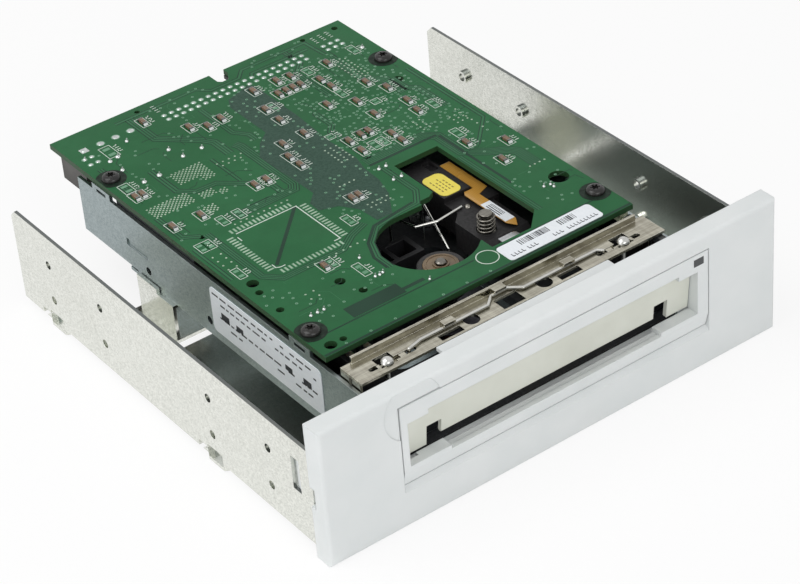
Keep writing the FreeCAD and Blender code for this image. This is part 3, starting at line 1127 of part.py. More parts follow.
def header_pins():
    """Square contact pins of the data header in two rows, bent up into the board."""
    y1 = BOARD_REAR - 0.4
    y0 = y1 - HEADER_DEPTH
    middle = BOARD_BASE - HEADER_HEIGHT / 2
    half = PIN_HALF
    pins = []
    for x in pin_row(HEADER_CENTRE_X, HEADER_COLUMNS, PIN_PITCH):
        for row in (0, 1):
            z = middle + (row - 0.5) * PIN_PITCH
            tail_y = y0 - 1.2 - (1 - row) * PIN_PITCH / 2
            pin = box(x - half, x + half, tail_y - half, y1 - 1.6, z - half, z + half)
            tail = box(x - half, x + half, tail_y - half, tail_y + half, z - half, BOARD_BASE)
            pins.append(pin.fuse(tail))
    return Part.makeCompound(pins)


def jumper_header():
    """Two-row option header under the rear edge, pins pointing rearward."""
    half = JUMPER_HALF
    y1 = BOARD_REAR - JUMPER_PIN_LENGTH - 0.4
    y0 = y1 - PIN_PITCH
    z1 = BOARD_BASE
    return box(JUMPER_CENTRE_X - half, JUMPER_CENTRE_X + half, y0, y1, z1 - 2 * PIN_PITCH - 0.4, z1).cut(
        jumper_pins())


def jumper_pins():
    """Pins of the option header."""
    y1 = BOARD_REAR - JUMPER_PIN_LENGTH - 0.4
    half = PIN_HALF
    pins = []
    for x in pin_row(JUMPER_CENTRE_X, JUMPER_COLUMNS, PIN_PITCH):
        for row in (0, 1):
            z = BOARD_BASE - 0.4 - (1.5 - row) * PIN_PITCH
            tail_y = y1 - PIN_PITCH - 1.0 - (1 - row) * 1.3
            pin = box(x - half, x + half, tail_y - half, y1 + JUMPER_PIN_LENGTH, z - half, z + half)
            tail = box(x - half, x + half, tail_y - half, tail_y + half, z - half, BOARD_BASE)
            pins.append(pin.fuse(tail))
    return Part.makeCompound(pins)


def jumper_cap():
    """Small two-hole shunt that pulls off the option header."""
    x = JUMPER_CENTRE_X - PIN_PITCH
    y0 = BOARD_REAR - JUMPER_PIN_LENGTH - 0.4 + SLIP
    z1 = BOARD_BASE - 0.4 - SLIP / 2
    cap = box(x - PIN_PITCH / 2 + 0.1, x + PIN_PITCH / 2 - 0.1, y0, y0 + JUMPER_CAP_LENGTH,
              z1 - 2 * PIN_PITCH + SLIP, z1)
    holes = []
    for row in (0, 1):
        z = BOARD_BASE - 0.4 - (1.5 - row) * PIN_PITCH
        holes.append(box(x - 0.38, x + 0.38, y0 - 1, y0 + JUMPER_CAP_LENGTH + 1, z - 0.38, z + 0.38))
    return cap.cut(holes)


# ---------------------------------------------------------------- capstan drive
def motor_arm():
    """Pivoting motor bracket: base plate, pivot boss, rear box and the cantilever with the upper bearing."""
    z0 = FLOOR_TOP + SLIP
    z1 = z0 + ARM_PLATE
    plate = join(rod(0, CAPSTAN_Y, z0, z1, ROTOR_R + 1.5), rod(ARM_PIVOT_X, ARM_PIVOT_Y, z0, z1, ARM_BOSS_R),
                 box(ARM_PIVOT_X, 0, ARM_PIVOT_Y - ARM_BOSS_R, ARM_PIVOT_Y + ARM_BOSS_R, z0, z1))
    arm_z = rotor_top() + SLIP
    boss_top = arm_z + ARM_BRIDGE
    boss = rod(ARM_PIVOT_X, ARM_PIVOT_Y, z0, boss_top, ARM_BOSS_R)
    post_y = CAPSTAN_Y + ROTOR_R - 0.5
    base = box(ARM_BOX_LEFT, ARM_BOX_RIGHT, CAPSTAN_Y + 4, ARM_BOX_REAR, z0, z1)
    back = box(ARM_BOX_LEFT, ARM_BOX_RIGHT, post_y + 1.0, ARM_BOX_REAR, z0, arm_z + ARM_BOX_RISE)
    hollow = box(ARM_BOX_LEFT + 1.5, ARM_BOX_RIGHT - 1.5, post_y + 2.4, ARM_BOX_REAR - 1.4,
                 z1 + 2, arm_z + ARM_BOX_RISE + 1)
    divider = box((ARM_BOX_LEFT + ARM_BOX_RIGHT) / 2 - 0.7, (ARM_BOX_LEFT + ARM_BOX_RIGHT) / 2 + 0.7,
                  post_y + 1.5, ARM_BOX_REAR - 0.5, z1 + 1, arm_z + ARM_BOX_RISE)
    bridge = box(ARM_BOX_LEFT, ARM_BOX_RIGHT, CAPSTAN_Y, post_y + 2, arm_z, boss_top)
    link = prism([(ARM_PIVOT_X, ARM_PIVOT_Y - ARM_BOSS_R, arm_z), (0, CAPSTAN_Y - ARM_BEARING_R, arm_z),
                  (0, CAPSTAN_Y + ARM_BEARING_R, arm_z), (ARM_PIVOT_X, ARM_PIVOT_Y + ARM_BOSS_R, arm_z)],
                 (0, 0, ARM_BRIDGE))
    bearing = rod(0, CAPSTAN_Y, arm_z, boss_top, ARM_BEARING_R)
    finger = box(ARM_BOX_RIGHT - 1, ARM_FINGER_X, ARM_FINGER_Y - 1.4, ARM_FINGER_Y + 1.8, arm_z, boss_top)
    arm = join(plate, boss, base, back.cut(hollow), divider, bridge, link, bearing, finger)
    pin_way = rod(ARM_PIVOT_X, ARM_PIVOT_Y, z0 - 1, boss_top + 1, ARM_PIN_R + RUNNING)
    shaft_way = rod(0, CAPSTAN_Y, z0 - 1, boss_top + 1, ARM_BUSH_R)
    return arm.cut([pin_way, shaft_way]).removeSplitter()


def rotor_top():
    """Upper face of the motor's rotor."""
    return FLOOR_TOP + SLIP + ARM_PLATE + COIL_HEIGHT + SLIP + ROTOR_THICKNESS


def arm_bushes():
    """Two bronze bushes pressed into the motor bracket."""
    z0 = FLOOR_TOP + SLIP
    arm_z = rotor_top() + SLIP
    low = tube(0, CAPSTAN_Y, z0, z0 + ARM_PLATE, ARM_BUSH_R, CAPSTAN_SHAFT_R + RUNNING)
    high = tube(0, CAPSTAN_Y, arm_z, arm_z + ARM_BRIDGE, ARM_BUSH_R, CAPSTAN_SHAFT_R + RUNNING)
    return Part.makeCompound([low, high])


def arm_pivot_pin():
    """Shouldered steel pin that the motor bracket swings on, pressed into the floor."""
    top = rotor_top() + SLIP + ARM_BRIDGE
    foot = rod(ARM_PIVOT_X, ARM_PIVOT_Y, DRIVE_BASE, FLOOR_TOP, ARM_PIN_R - 0.5)
    shank = rod(ARM_PIVOT_X, ARM_PIVOT_Y, FLOOR_TOP, top + SLIP, ARM_PIN_R)
    head = rod(ARM_PIVOT_X, ARM_PIVOT_Y, top + SLIP, top + SLIP + 1.0, ARM_PIN_R + 1.0)
    return join(foot, shank, head)


def motor_coils():
    """Ring of flat stator coils on the motor bracket."""
    z0 = FLOOR_TOP + SLIP + ARM_PLATE
    coils = []
    mean_r = ROTOR_R * 0.62
    coil_r = mean_r * math.sin(math.pi / COIL_COUNT) - 0.2
    for number in range(COIL_COUNT):
        angle = 2 * math.pi * number / COIL_COUNT
        x = mean_r * math.cos(angle)
        y = CAPSTAN_Y + mean_r * math.sin(angle)
        coils.append(tube(x, y, z0, z0 + COIL_HEIGHT, coil_r, coil_r * 0.4))
    return Part.makeCompound(coils)


def capstan_rotor():
    """Magnet disc of the motor with its hub."""
    z1 = rotor_top()
    disc = rod(0, CAPSTAN_Y, z1 - ROTOR_THICKNESS, z1, ROTOR_R)
    rim = [e for e in disc.Edges if e.Closed]
    disc = disc.makeChamfer(0.3, rim)
    return disc.cut(rod(0, CAPSTAN_Y, z1 - ROTOR_THICKNESS - 1, z1 + 1, CAPSTAN_SHAFT_R))


def capstan_shaft():
    """Steel shaft of the capstan."""
    shaft = rod(0, CAPSTAN_Y, FLOOR_TOP + SLIP, CAPSTAN_TOP, CAPSTAN_SHAFT_R)
    tip = [e for e in shaft.Edges if e.Closed and e.BoundBox.ZMin > CAPSTAN_TOP - 0.1]
    return shaft.makeChamfer(0.4, tip)


def capstan_hub():
    """Tan plastic hub between the shaft and the tyre."""
    top = CAPSTAN_TOP - CAPSTAN_TIP
    hub = rod(0, CAPSTAN_Y, top - CAPSTAN_TYRE_HEIGHT - 0.6, top, CAPSTAN_HUB_R)
    rim = [e for e in hub.Edges if e.Closed and e.BoundBox.ZMin > top - 0.1]
    bore = rod(0, CAPSTAN_Y, top - 2 * CAPSTAN_TYRE_HEIGHT, top + 1, CAPSTAN_SHAFT_R)
    return hub.makeFillet(0.4, rim).cut(bore)


def capstan_tyre():
    """Rubber tyre that drives the belt roller of the cartridge."""
    top = CAPSTAN_TOP - CAPSTAN_TIP - 0.3
    tyre = rod(0, CAPSTAN_Y, top - CAPSTAN_TYRE_HEIGHT, top, CAPSTAN_TYRE_R)
    rims = [e for e in tyre.Edges if e.Closed]
    bore = rod(0, CAPSTAN_Y, top - 2 * CAPSTAN_TYRE_HEIGHT, top + 1, CAPSTAN_HUB_R)
    return tyre.makeFillet(0.6, rims).cut(bore)


def arm_wire():
    """Straight spring wire that presses the motor bracket's finger towards the cartridge."""
    finger_top = rotor_top() + SLIP + ARM_BRIDGE
    foot_y = MOTOR_BAY_REAR + 3.0
    high = CARRIAGE_LOW + 0.4
    points = [(ARM_WIRE_FOOT_X, foot_y, DECK_TOP), (ARM_WIRE_FOOT_X, foot_y, high),
              (ARM_FINGER_X - 0.4, ARM_FINGER_Y + 1.4, high - ARM_WIRE_DROP),
              (ARM_FINGER_X - 0.6, ARM_FINGER_Y + 0.6, finger_top + SLIP)]
    return wire_rod(points, ARM_WIRE_R)


def mechanism_springs():
    """The bracket's spring wire and the carriage's hold-down wire."""
    return Part.makeCompound([arm_wire(), hold_down_wire()])


# ---------------------------------------------------------------- head carriage
def head_carriage():
    """Moulded carriage that lifts and lowers the head, stepped down towards the cartridge."""
    left, right = CARRIAGE_LEFT, CARRIAGE_RIGHT
    front, rear, step = CARRIAGE_FRONT, CARRIAGE_REAR, CARRIAGE_STEP_Y
    foot_left = left - CARRIAGE_FOOT
    low_part = box(foot_left, right - 2.0, front, step - 6, CARRIAGE_BASE, CARRIAGE_LOW)
    middle = box(left, right, step - 7, step + 1, CARRIAGE_BASE, CARRIAGE_LOW)
    high_part = box(left, right, step, rear, CARRIAGE_BASE, CARRIAGE_HIGH)
    nose = prism([(foot_left, front + 0.01, CARRIAGE_LOW + 1), (foot_left, front - 1, CARRIAGE_LOW + 1),
                  (foot_left, front - 1, CARRIAGE_LOW - 3), (foot_left, front, CARRIAGE_LOW - 2.2),
                  (foot_left, front + 3, CARRIAGE_LOW + 0.001)], (right - foot_left, 0, 0))
    cheek = prism([(foot_left - 0.01, step - 9, CARRIAGE_BASE - 1), (left, step - 5.9, CARRIAGE_BASE - 1),
                   (foot_left - 0.01, step - 5.9, CARRIAGE_BASE - 1)], (0, 0, 2 * CARRIAGE_HIGH_TOP))
    body = join(low_part, middle, high_part).cut([nose, cheek])
    shoulder = box(right - 4.2, right, step - 6.9, step + 1, CARRIAGE_LOW - 1, CARRIAGE_LOW + FLEX_LIFT)
    waist = box(right - FLEX_WIDTH - 1.0, right + 1, step - 0.2, rear + 1,
                CARRIAGE_LOW + FLEX_LIFT - 2 * FLEX_LOOP_R, CARRIAGE_HIGH + 1)
    rear_well = rounded_plan(left + 5.6, right - 5.0, rear - 6.5, rear - 1.5, CARRIAGE_HIGH - 1.2,
                             CARRIAGE_HIGH + 1, 0.8)
    post_way = rod(GUIDE_POST_X, GUIDE_POST_Y, CARRIAGE_BASE - 1, CARRIAGE_LOW + 1, GUIDE_POST_R + RUNNING)
    rear_way = rod(REAR_POST_X, REAR_POST_Y, CARRIAGE_BASE - 1, CARRIAGE_HIGH - 0.8, GUIDE_POST_R + RUNNING)
    spring_seat = rod(GUIDE_POST_X, GUIDE_POST_Y, CARRIAGE_LOW - SPRING_SEAT, CARRIAGE_LOW + 1,
                      POST_SPRING_R + 0.5)
    screw_way = rod(LEAD_SCREW_X, LEAD_SCREW_Y, CARRIAGE_BASE - 1, CARRIAGE_HIGH - 1.5,
                    LEAD_SCREW_R + RUNNING)
    rivet_way = rod(RIVET_X, RIVET_Y, CARRIAGE_LOW - RIVET_DEPTH, CARRIAGE_LOW + 1, RIVET_R)
    ways = [post_way, rear_way, spring_seat, screw_way, rivet_way]
    body = join(body, shoulder).cut([waist, rear_well] + ways)
    head_way = box(HEAD_X - HEAD_WIDTH / 2, HEAD_X + HEAD_WIDTH / 2, front - 1, front + 2.5,
                   CARRIAGE_BASE + 1.5, CARRIAGE_BASE + 1.5 + HEAD_HEIGHT)
    return body.cut(head_way).removeSplitter()


def carriage_rivet():
    """Bright rivet on the carriage beside the guide post."""
    shank = rod(RIVET_X, RIVET_Y, CARRIAGE_LOW - RIVET_DEPTH, CARRIAGE_LOW, RIVET_R)
    dome = Part.makeSphere(RIVET_DOME_R, Vec(RIVET_X, RIVET_Y, CARRIAGE_LOW - RIVET_DOME_R / 3))
    keep = rod(RIVET_X, RIVET_Y, CARRIAGE_LOW, CARRIAGE_LOW + 2 * RIVET_DOME_R, 2 * RIVET_DOME_R)
    return join(shank, dome.common(keep))


def magnetic_head():
    """Read and write head with a rounded face towards the tape."""
    front = CARRIAGE_FRONT - HEAD_REACH
    z0 = CARRIAGE_BASE + 1.5
    block = box(HEAD_X - HEAD_WIDTH / 2, HEAD_X + HEAD_WIDTH / 2, front + 0.5, CARRIAGE_FRONT + 2.5,
                z0, z0 + HEAD_HEIGHT)
    face = Part.makeCylinder(HEAD_WIDTH * 0.6, HEAD_HEIGHT, Vec(HEAD_X, front + HEAD_WIDTH * 0.6, z0))
    face = face.common(box(HEAD_X - HEAD_WIDTH / 2, HEAD_X + HEAD_WIDTH / 2, front, front + 2.0, z0,
                           z0 + HEAD_HEIGHT))
    return join(block, face)


def carriage_flex():
    """Amber flat cable that lies on the carriage and turns under itself beside the rear end."""
    z0 = CARRIAGE_LOW + FLEX_LIFT
    x0 = FLEX_FRONT_X
    x1 = x0 + FLEX_WIDTH
    x3 = CARRIAGE_RIGHT - SLIP
    x2 = x3 - FLEX_WIDTH
    jog_y = CARRIAGE_STEP_Y - 3.2
    tip_y = CARRIAGE_FRONT + FLEX_TIP
    sheet = (0, 0, FLEX_THICKNESS)
    front_run = prism([(x0, tip_y + FLEX_POINT, z0), (x0 + FLEX_WIDTH / 2, tip_y, z0),
                       (x1, tip_y + FLEX_POINT, z0), (x1, jog_y, z0), (x0, jog_y, z0)], sheet)
    jog = prism([(x0, jog_y - 0.5, z0), (x1, jog_y - 0.5, z0), (x3, jog_y + 1.0, z0), (x3, jog_y + 2.9, z0),
                 (x0 + 0.8, jog_y + 2.9, z0), (x0, jog_y + 1.6, z0)], sheet)
    rear_run = box(x2, x3, jog_y + 2.4, FLEX_TURN_Y, z0, z0 + FLEX_THICKNESS)
    loop_z = z0 + FLEX_THICKNESS - FLEX_LOOP_R
    loop = rod_x(x2, x3, FLEX_TURN_Y, loop_z, FLEX_LOOP_R)
    inside = rod_x(x2 - 1, x3 + 1, FLEX_TURN_Y, loop_z, FLEX_LOOP_R - FLEX_THICKNESS)
    loop = loop.cut(inside).common(box(x2 - 1, x3 + 1, FLEX_TURN_Y, FLEX_TURN_Y + 9, z0 - 9, z0 + 9))
    back_z = z0 + FLEX_THICKNESS - 2 * FLEX_LOOP_R
    back = box(x2, x3, FLEX_TURN_Y - 8.0, FLEX_TURN_Y, back_z, back_z + FLEX_THICKNESS)
    return join(front_run, jog, rear_run, loop, back)


def guide_posts():
    """Two steel posts in the deck that guide the carriage; the front one has a spring head."""
    head_z = post_head_z()
    front = rod(GUIDE_POST_X, GUIDE_POST_Y, FLOOR_TOP, head_z, GUIDE_POST_R)
    head = rod(GUIDE_POST_X, GUIDE_POST_Y, head_z, head_z + 0.9, GUIDE_POST_HEAD_R)
    top = [e for e in head.Edges if e.Closed and e.BoundBox.ZMin > head_z + 0.5]
    head = head.makeFillet(0.3, top)
    rear = rod(REAR_POST_X, REAR_POST_Y, FLOOR_TOP, CARRIAGE_HIGH - 3.4, GUIDE_POST_R)
    return Part.makeCompound([join(front, head), rear])


def post_head_z():
    """Underside of the guide post's head."""
    return BOARD_TOP - 1.6


def post_spring():
    """Coil spring between the carriage and the head of the front guide post, as close rings."""
    low = CARRIAGE_LOW - SPRING_SEAT + POST_WIRE_R + 0.02
    high = post_head_z() - POST_WIRE_R - 0.02
    rings = []
    for number in range(POST_COILS):
        z = low + (high - low) * number / (POST_COILS - 1)
        rings.append(Part.makeTorus(POST_SPRING_R, POST_WIRE_R, Vec(GUIDE_POST_X, GUIDE_POST_Y, z)))
    pitch = (high - low) / (POST_COILS - 1)
    links = []
    for number in range(POST_COILS - 1):
        z = low + pitch * number
        angle = math.pi * (number % 2)
        x = GUIDE_POST_X + POST_SPRING_R * math.cos(angle)
        links.append(rod(x, GUIDE_POST_Y, z, z + pitch, POST_WIRE_R * 0.9))
    return join(rings[0], *rings[1:], *links)


def lead_screw():
    """Lead screw that the stepper turns to lift the carriage, with turned grooves for its thread."""
    z0 = FLOOR_TOP + STEPPER_HEIGHT + SLIP
    z1 = CARRIAGE_HIGH - 4.0
    screw_rod = rod(LEAD_SCREW_X, LEAD_SCREW_Y, FLOOR_TOP + 0.6, z1, LEAD_SCREW_R)
    grooves = []
    count = int((z1 - z0 - 1.0) / LEAD_SCREW_GROOVE)
    for number in range(count):
        z = z0 + 0.8 + number * LEAD_SCREW_GROOVE
        grooves.append(tube(LEAD_SCREW_X, LEAD_SCREW_Y, z, z + LEAD_SCREW_GROOVE * 0.45, LEAD_SCREW_R + 1,
                            LEAD_SCREW_R - 0.2))
    return screw_rod.cut(grooves)


def head_stepper():
    """Small can stepper motor under the rear of the carriage."""
    can = rod(LEAD_SCREW_X, LEAD_SCREW_Y, FLOOR_TOP, FLOOR_TOP + STEPPER_HEIGHT - 0.8, STEPPER_R)
    cap = rod(LEAD_SCREW_X, LEAD_SCREW_Y, FLOOR_TOP + STEPPER_HEIGHT - 0.8, FLOOR_TOP + STEPPER_HEIGHT,
              LEAD_SCREW_R + 1.6)
    way = rod(LEAD_SCREW_X, LEAD_SCREW_Y, FLOOR_TOP + 0.5, FLOOR_TOP + STEPPER_HEIGHT + 1,
              LEAD_SCREW_R + RUNNING)
    return join(can, cap).cut(way)


def carriage_sticker():
    """Rounded yellow sticker on the carriage."""
    x0 = CARRIAGE_LEFT + 0.3
    y0 = CARRIAGE_STEP_Y + 0.4
    return rounded_plan(x0, x0 + STICKER_WIDTH, y0, y0 + STICKER_LENGTH, CARRIAGE_HIGH,
                        CARRIAGE_HIGH + LABEL_THICKNESS, STICKER_WIDTH * 0.3)


def flex_label():
    """White label stuck on the flat cable."""
    z0 = CARRIAGE_LOW + FLEX_LIFT + FLEX_THICKNESS
    y0 = CARRIAGE_FRONT + FLEX_TIP + FLEX_LABEL_SETBACK
    return box(FLEX_FRONT_X + 0.1, FLEX_FRONT_X + FLEX_WIDTH - 0.1, y0, y0 + FLEX_LABEL_LENGTH, z0,
               z0 + LABEL_THICKNESS)


def hold_down_wire():
    """Curved spring wire from the deck whose end rests on the carriage."""
    z = CARRIAGE_LOW + HOLD_WIRE_R + 0.02
    foot_y = MOTOR_BAY_REAR + 2.4
    points = [(3.4, foot_y, DECK_TOP), (3.4, foot_y, z), (5.7, CARRIAGE_STEP_Y - 3.8, z),
              (11.8, CARRIAGE_STEP_Y - 5.8, z), (CARRIAGE_LEFT + 2.4, CARRIAGE_STEP_Y - 4.6, z)]
    return wire_rod(points, HOLD_WIRE_R)


# ---------------------------------------------------------------- sensors and labels
def sense_switches():
    """Two small switches at the end of the cartridge bay."""
    bodies = []
    for x in SWITCH_X:
        body = box(x - SWITCH_WIDTH / 2, x + SWITCH_WIDTH / 2, SWITCH_Y, SWITCH_Y + SWITCH_DEPTH,
                   DECK_TOP, DECK_TOP + SWITCH_HEIGHT)
        way = rod_y(x, SWITCH_Y - 1, SWITCH_Y + PLUNGER_STROKE + 3.0, DECK_TOP + SWITCH_HEIGHT * 0.6,
                    PLUNGER_R + RUNNING)
        bodies.append(body.cut(way))
    return Part.makeCompound(bodies)


def switch_plunger(x):
    """Round-nosed plunger of one switch."""
    z = DECK_TOP + SWITCH_HEIGHT * 0.6
    shank = rod_y(x, SWITCH_Y - PLUNGER_OUT, SWITCH_Y + 2.6, z, PLUNGER_R)
    nose = Part.makeSphere(PLUNGER_R, Vec(x, SWITCH_Y - PLUNGER_OUT, z))
    return join(shank, nose)


def tape_sensor():
    """Optical sensor block that looks for the holes in the tape."""
    x0 = TAPE_SENSOR_X
    base = box(x0, x0 + 6.0, SWITCH_Y, SWITCH_Y + 6.0, DECK_TOP, DECK_TOP + 11.0)
    lens = rod_y(x0 + 3.0, SWITCH_Y - 0.8, SWITCH_Y + 1, DECK_TOP + 7.5, 1.3)
    slot = box(x0 + 1.2, x0 + 4.8, SWITCH_Y + 2.0, SWITCH_Y + 7.0, DECK_TOP + 9.0, DECK_TOP + 12.0)
    return join(base, lens).cut(slot)


def side_label():
    """Blank rating label on the left wall of the drive."""
    z0 = DRIVE_BASE + SIDE_LABEL_RISE
    face = box(-HALF_DRIVE - LABEL_THICKNESS, -HALF_DRIVE, SIDE_LABEL_Y, SIDE_LABEL_Y + SIDE_LABEL_LENGTH,
               z0, z0 + SIDE_LABEL_HEIGHT)
    edges = [e for e in face.Edges if abs(e.Vertexes[0].X - e.Vertexes[1].X) > LABEL_THICKNESS / 2]
    return face.makeFillet(1.6, edges)


def board_label():
    """Blank white label on the board's front edge."""
    return rounded_plan(BOARD_LABEL_X, BOARD_LABEL_X + BOARD_LABEL_WIDTH, BOARD_FRONT + 1.1,
                        BOARD_FRONT + 1.1 + BOARD_LABEL_DEPTH, BOARD_TOP, BOARD_TOP + LABEL_THICKNESS, 1.2)


# ---------------------------------------------------------------- all pieces
def all_pieces():
    """Every sub-part by name."""
    left_x, right_x = LATCH_X
    pieces = {
        "outer_bezel": outer_bezel(), "mounting_tray": mounting_tray(),
        "tray_drive_screws": tray_drive_screws(), "drive_chassis": drive_chassis(),
        "deck_frame": deck_frame(), "deck_screws": deck_screws(),
        "cartridge_guide_left": cartridge_guide(-1), "cartridge_guide_right": cartridge_guide(1),
        "inner_bezel": inner_bezel(), "activity_lens": activity_lens(), "activity_lamp": activity_lamp(),
        "door_flap": door_flap(), "door_pin": door_pin(), "door_spring": door_spring(),
        "front_plate": front_plate(), "latch_wire": latch_wire(),
        "latch_carrier_left": latch_carrier(left_x), "latch_carrier_right": latch_carrier(right_x),
        "latch_pin_left": latch_pin(left_x), "latch_pin_right": latch_pin(right_x),
        "latch_roller_left": latch_roller(left_x), "latch_roller_right": latch_roller(right_x),
        "circuit_board": circuit_board(), "board_screws": board_screws(),
        "surface_capacitors": surface_capacitors(), "controller_chips": controller_chips(),
        "filter_capacitors": filter_capacitors(), "clock_crystal": clock_crystal(),
        "power_connector": power_connector(), "power_pins": power_pins(),
        "data_header": data_header(), "header_pins": header_pins(),
        "jumper_header": jumper_header(), "jumper_pins": jumper_pins(), "jumper_cap": jumper_cap(),
        "motor_arm": motor_arm(), "arm_bushes": arm_bushes(), "arm_pivot_pin": arm_pivot_pin(),
        "mechanism_springs": mechanism_springs(), "motor_coils": motor_coils(),
        "capstan_rotor": capstan_rotor(), "capstan_shaft": capstan_shaft(),
        "capstan_hub": capstan_hub(), "capstan_tyre": capstan_tyre(),
        "head_carriage": head_carriage(), "carriage_rivet": carriage_rivet(),
        "magnetic_head": magnetic_head(), "carriage_flex": carriage_flex(), "guide_posts": guide_posts(),
        "post_spring": post_spring(), "lead_screw": lead_screw(), "head_stepper": head_stepper(),
        "carriage_sticker": carriage_sticker(), "flex_label": flex_label(),
        "sense_switches": sense_switches(), "tape_sensor": tape_sensor(),
        "side_label": side_label(), "board_label": board_label(),
    }
    for name, x in zip(SWITCH_NAMES, SWITCH_X):
        pieces[name] = switch_plunger(x)
    return pieces


PIECES = all_pieces()
os.makedirs("parts", exist_ok=True)
for node, shape in PIECES.items():
    placed = shape.copy()
    placed.translate(Vec(0, -OVERALL_DEPTH / 2, 0))
    placed.exportStep(os.path.join("parts", node + ".step"))
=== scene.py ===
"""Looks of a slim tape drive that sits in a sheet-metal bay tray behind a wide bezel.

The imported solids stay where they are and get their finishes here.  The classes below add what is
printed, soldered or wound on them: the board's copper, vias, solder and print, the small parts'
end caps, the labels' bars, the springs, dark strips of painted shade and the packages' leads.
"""

from __future__ import annotations

import json
import logging
import math
import random
from dataclasses import dataclass, field
from enum import Enum
from functools import partial
from typing import Iterable, Sequence

import bmesh
import bpy
from mathutils import Matrix, Vector

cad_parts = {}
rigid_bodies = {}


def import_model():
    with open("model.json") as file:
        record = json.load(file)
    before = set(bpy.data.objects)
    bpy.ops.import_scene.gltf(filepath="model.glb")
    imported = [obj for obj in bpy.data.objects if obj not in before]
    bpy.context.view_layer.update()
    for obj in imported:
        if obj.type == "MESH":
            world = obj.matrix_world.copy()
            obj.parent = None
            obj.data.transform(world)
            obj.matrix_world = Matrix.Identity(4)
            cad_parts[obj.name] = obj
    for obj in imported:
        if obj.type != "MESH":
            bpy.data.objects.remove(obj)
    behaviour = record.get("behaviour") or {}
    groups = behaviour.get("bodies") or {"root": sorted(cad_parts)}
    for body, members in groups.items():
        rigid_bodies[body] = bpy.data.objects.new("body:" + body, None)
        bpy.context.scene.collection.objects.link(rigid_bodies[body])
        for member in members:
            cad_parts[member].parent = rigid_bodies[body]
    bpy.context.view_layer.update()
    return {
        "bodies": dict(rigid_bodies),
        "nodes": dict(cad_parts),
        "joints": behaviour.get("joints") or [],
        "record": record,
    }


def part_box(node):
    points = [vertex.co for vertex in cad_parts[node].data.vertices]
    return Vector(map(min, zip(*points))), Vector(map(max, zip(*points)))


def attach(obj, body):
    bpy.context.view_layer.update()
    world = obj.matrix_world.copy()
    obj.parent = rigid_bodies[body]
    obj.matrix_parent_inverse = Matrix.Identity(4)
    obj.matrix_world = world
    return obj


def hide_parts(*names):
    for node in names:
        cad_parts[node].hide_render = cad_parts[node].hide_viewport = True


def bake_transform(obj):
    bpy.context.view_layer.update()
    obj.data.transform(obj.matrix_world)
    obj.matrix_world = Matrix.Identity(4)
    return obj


LOG = logging.getLogger("tape_drive")
MM = 0.001

Colour = tuple[float, float, float]
Point = tuple[float, float]
Place = tuple[float, float, float]
Box = tuple[Vector, Vector]


def srgb(red: float, green: float, blue: float) -> Colour:
    """Turn a display colour of 0 to 255 into linear light.

    Args:
        red: Red, 0 to 255.
        green: Green, 0 to 255.
        blue: Blue, 0 to 255.

    Returns:
        The same colour as three linear values.
    """
    def linear(value: float) -> float:
        """One channel, 0 to 255, as linear light."""
        share = value / 255
        return share / 12.92 if share <= 0.04045 else ((share + 0.055) / 1.055) ** 2.4

    return linear(red), linear(green), linear(blue)


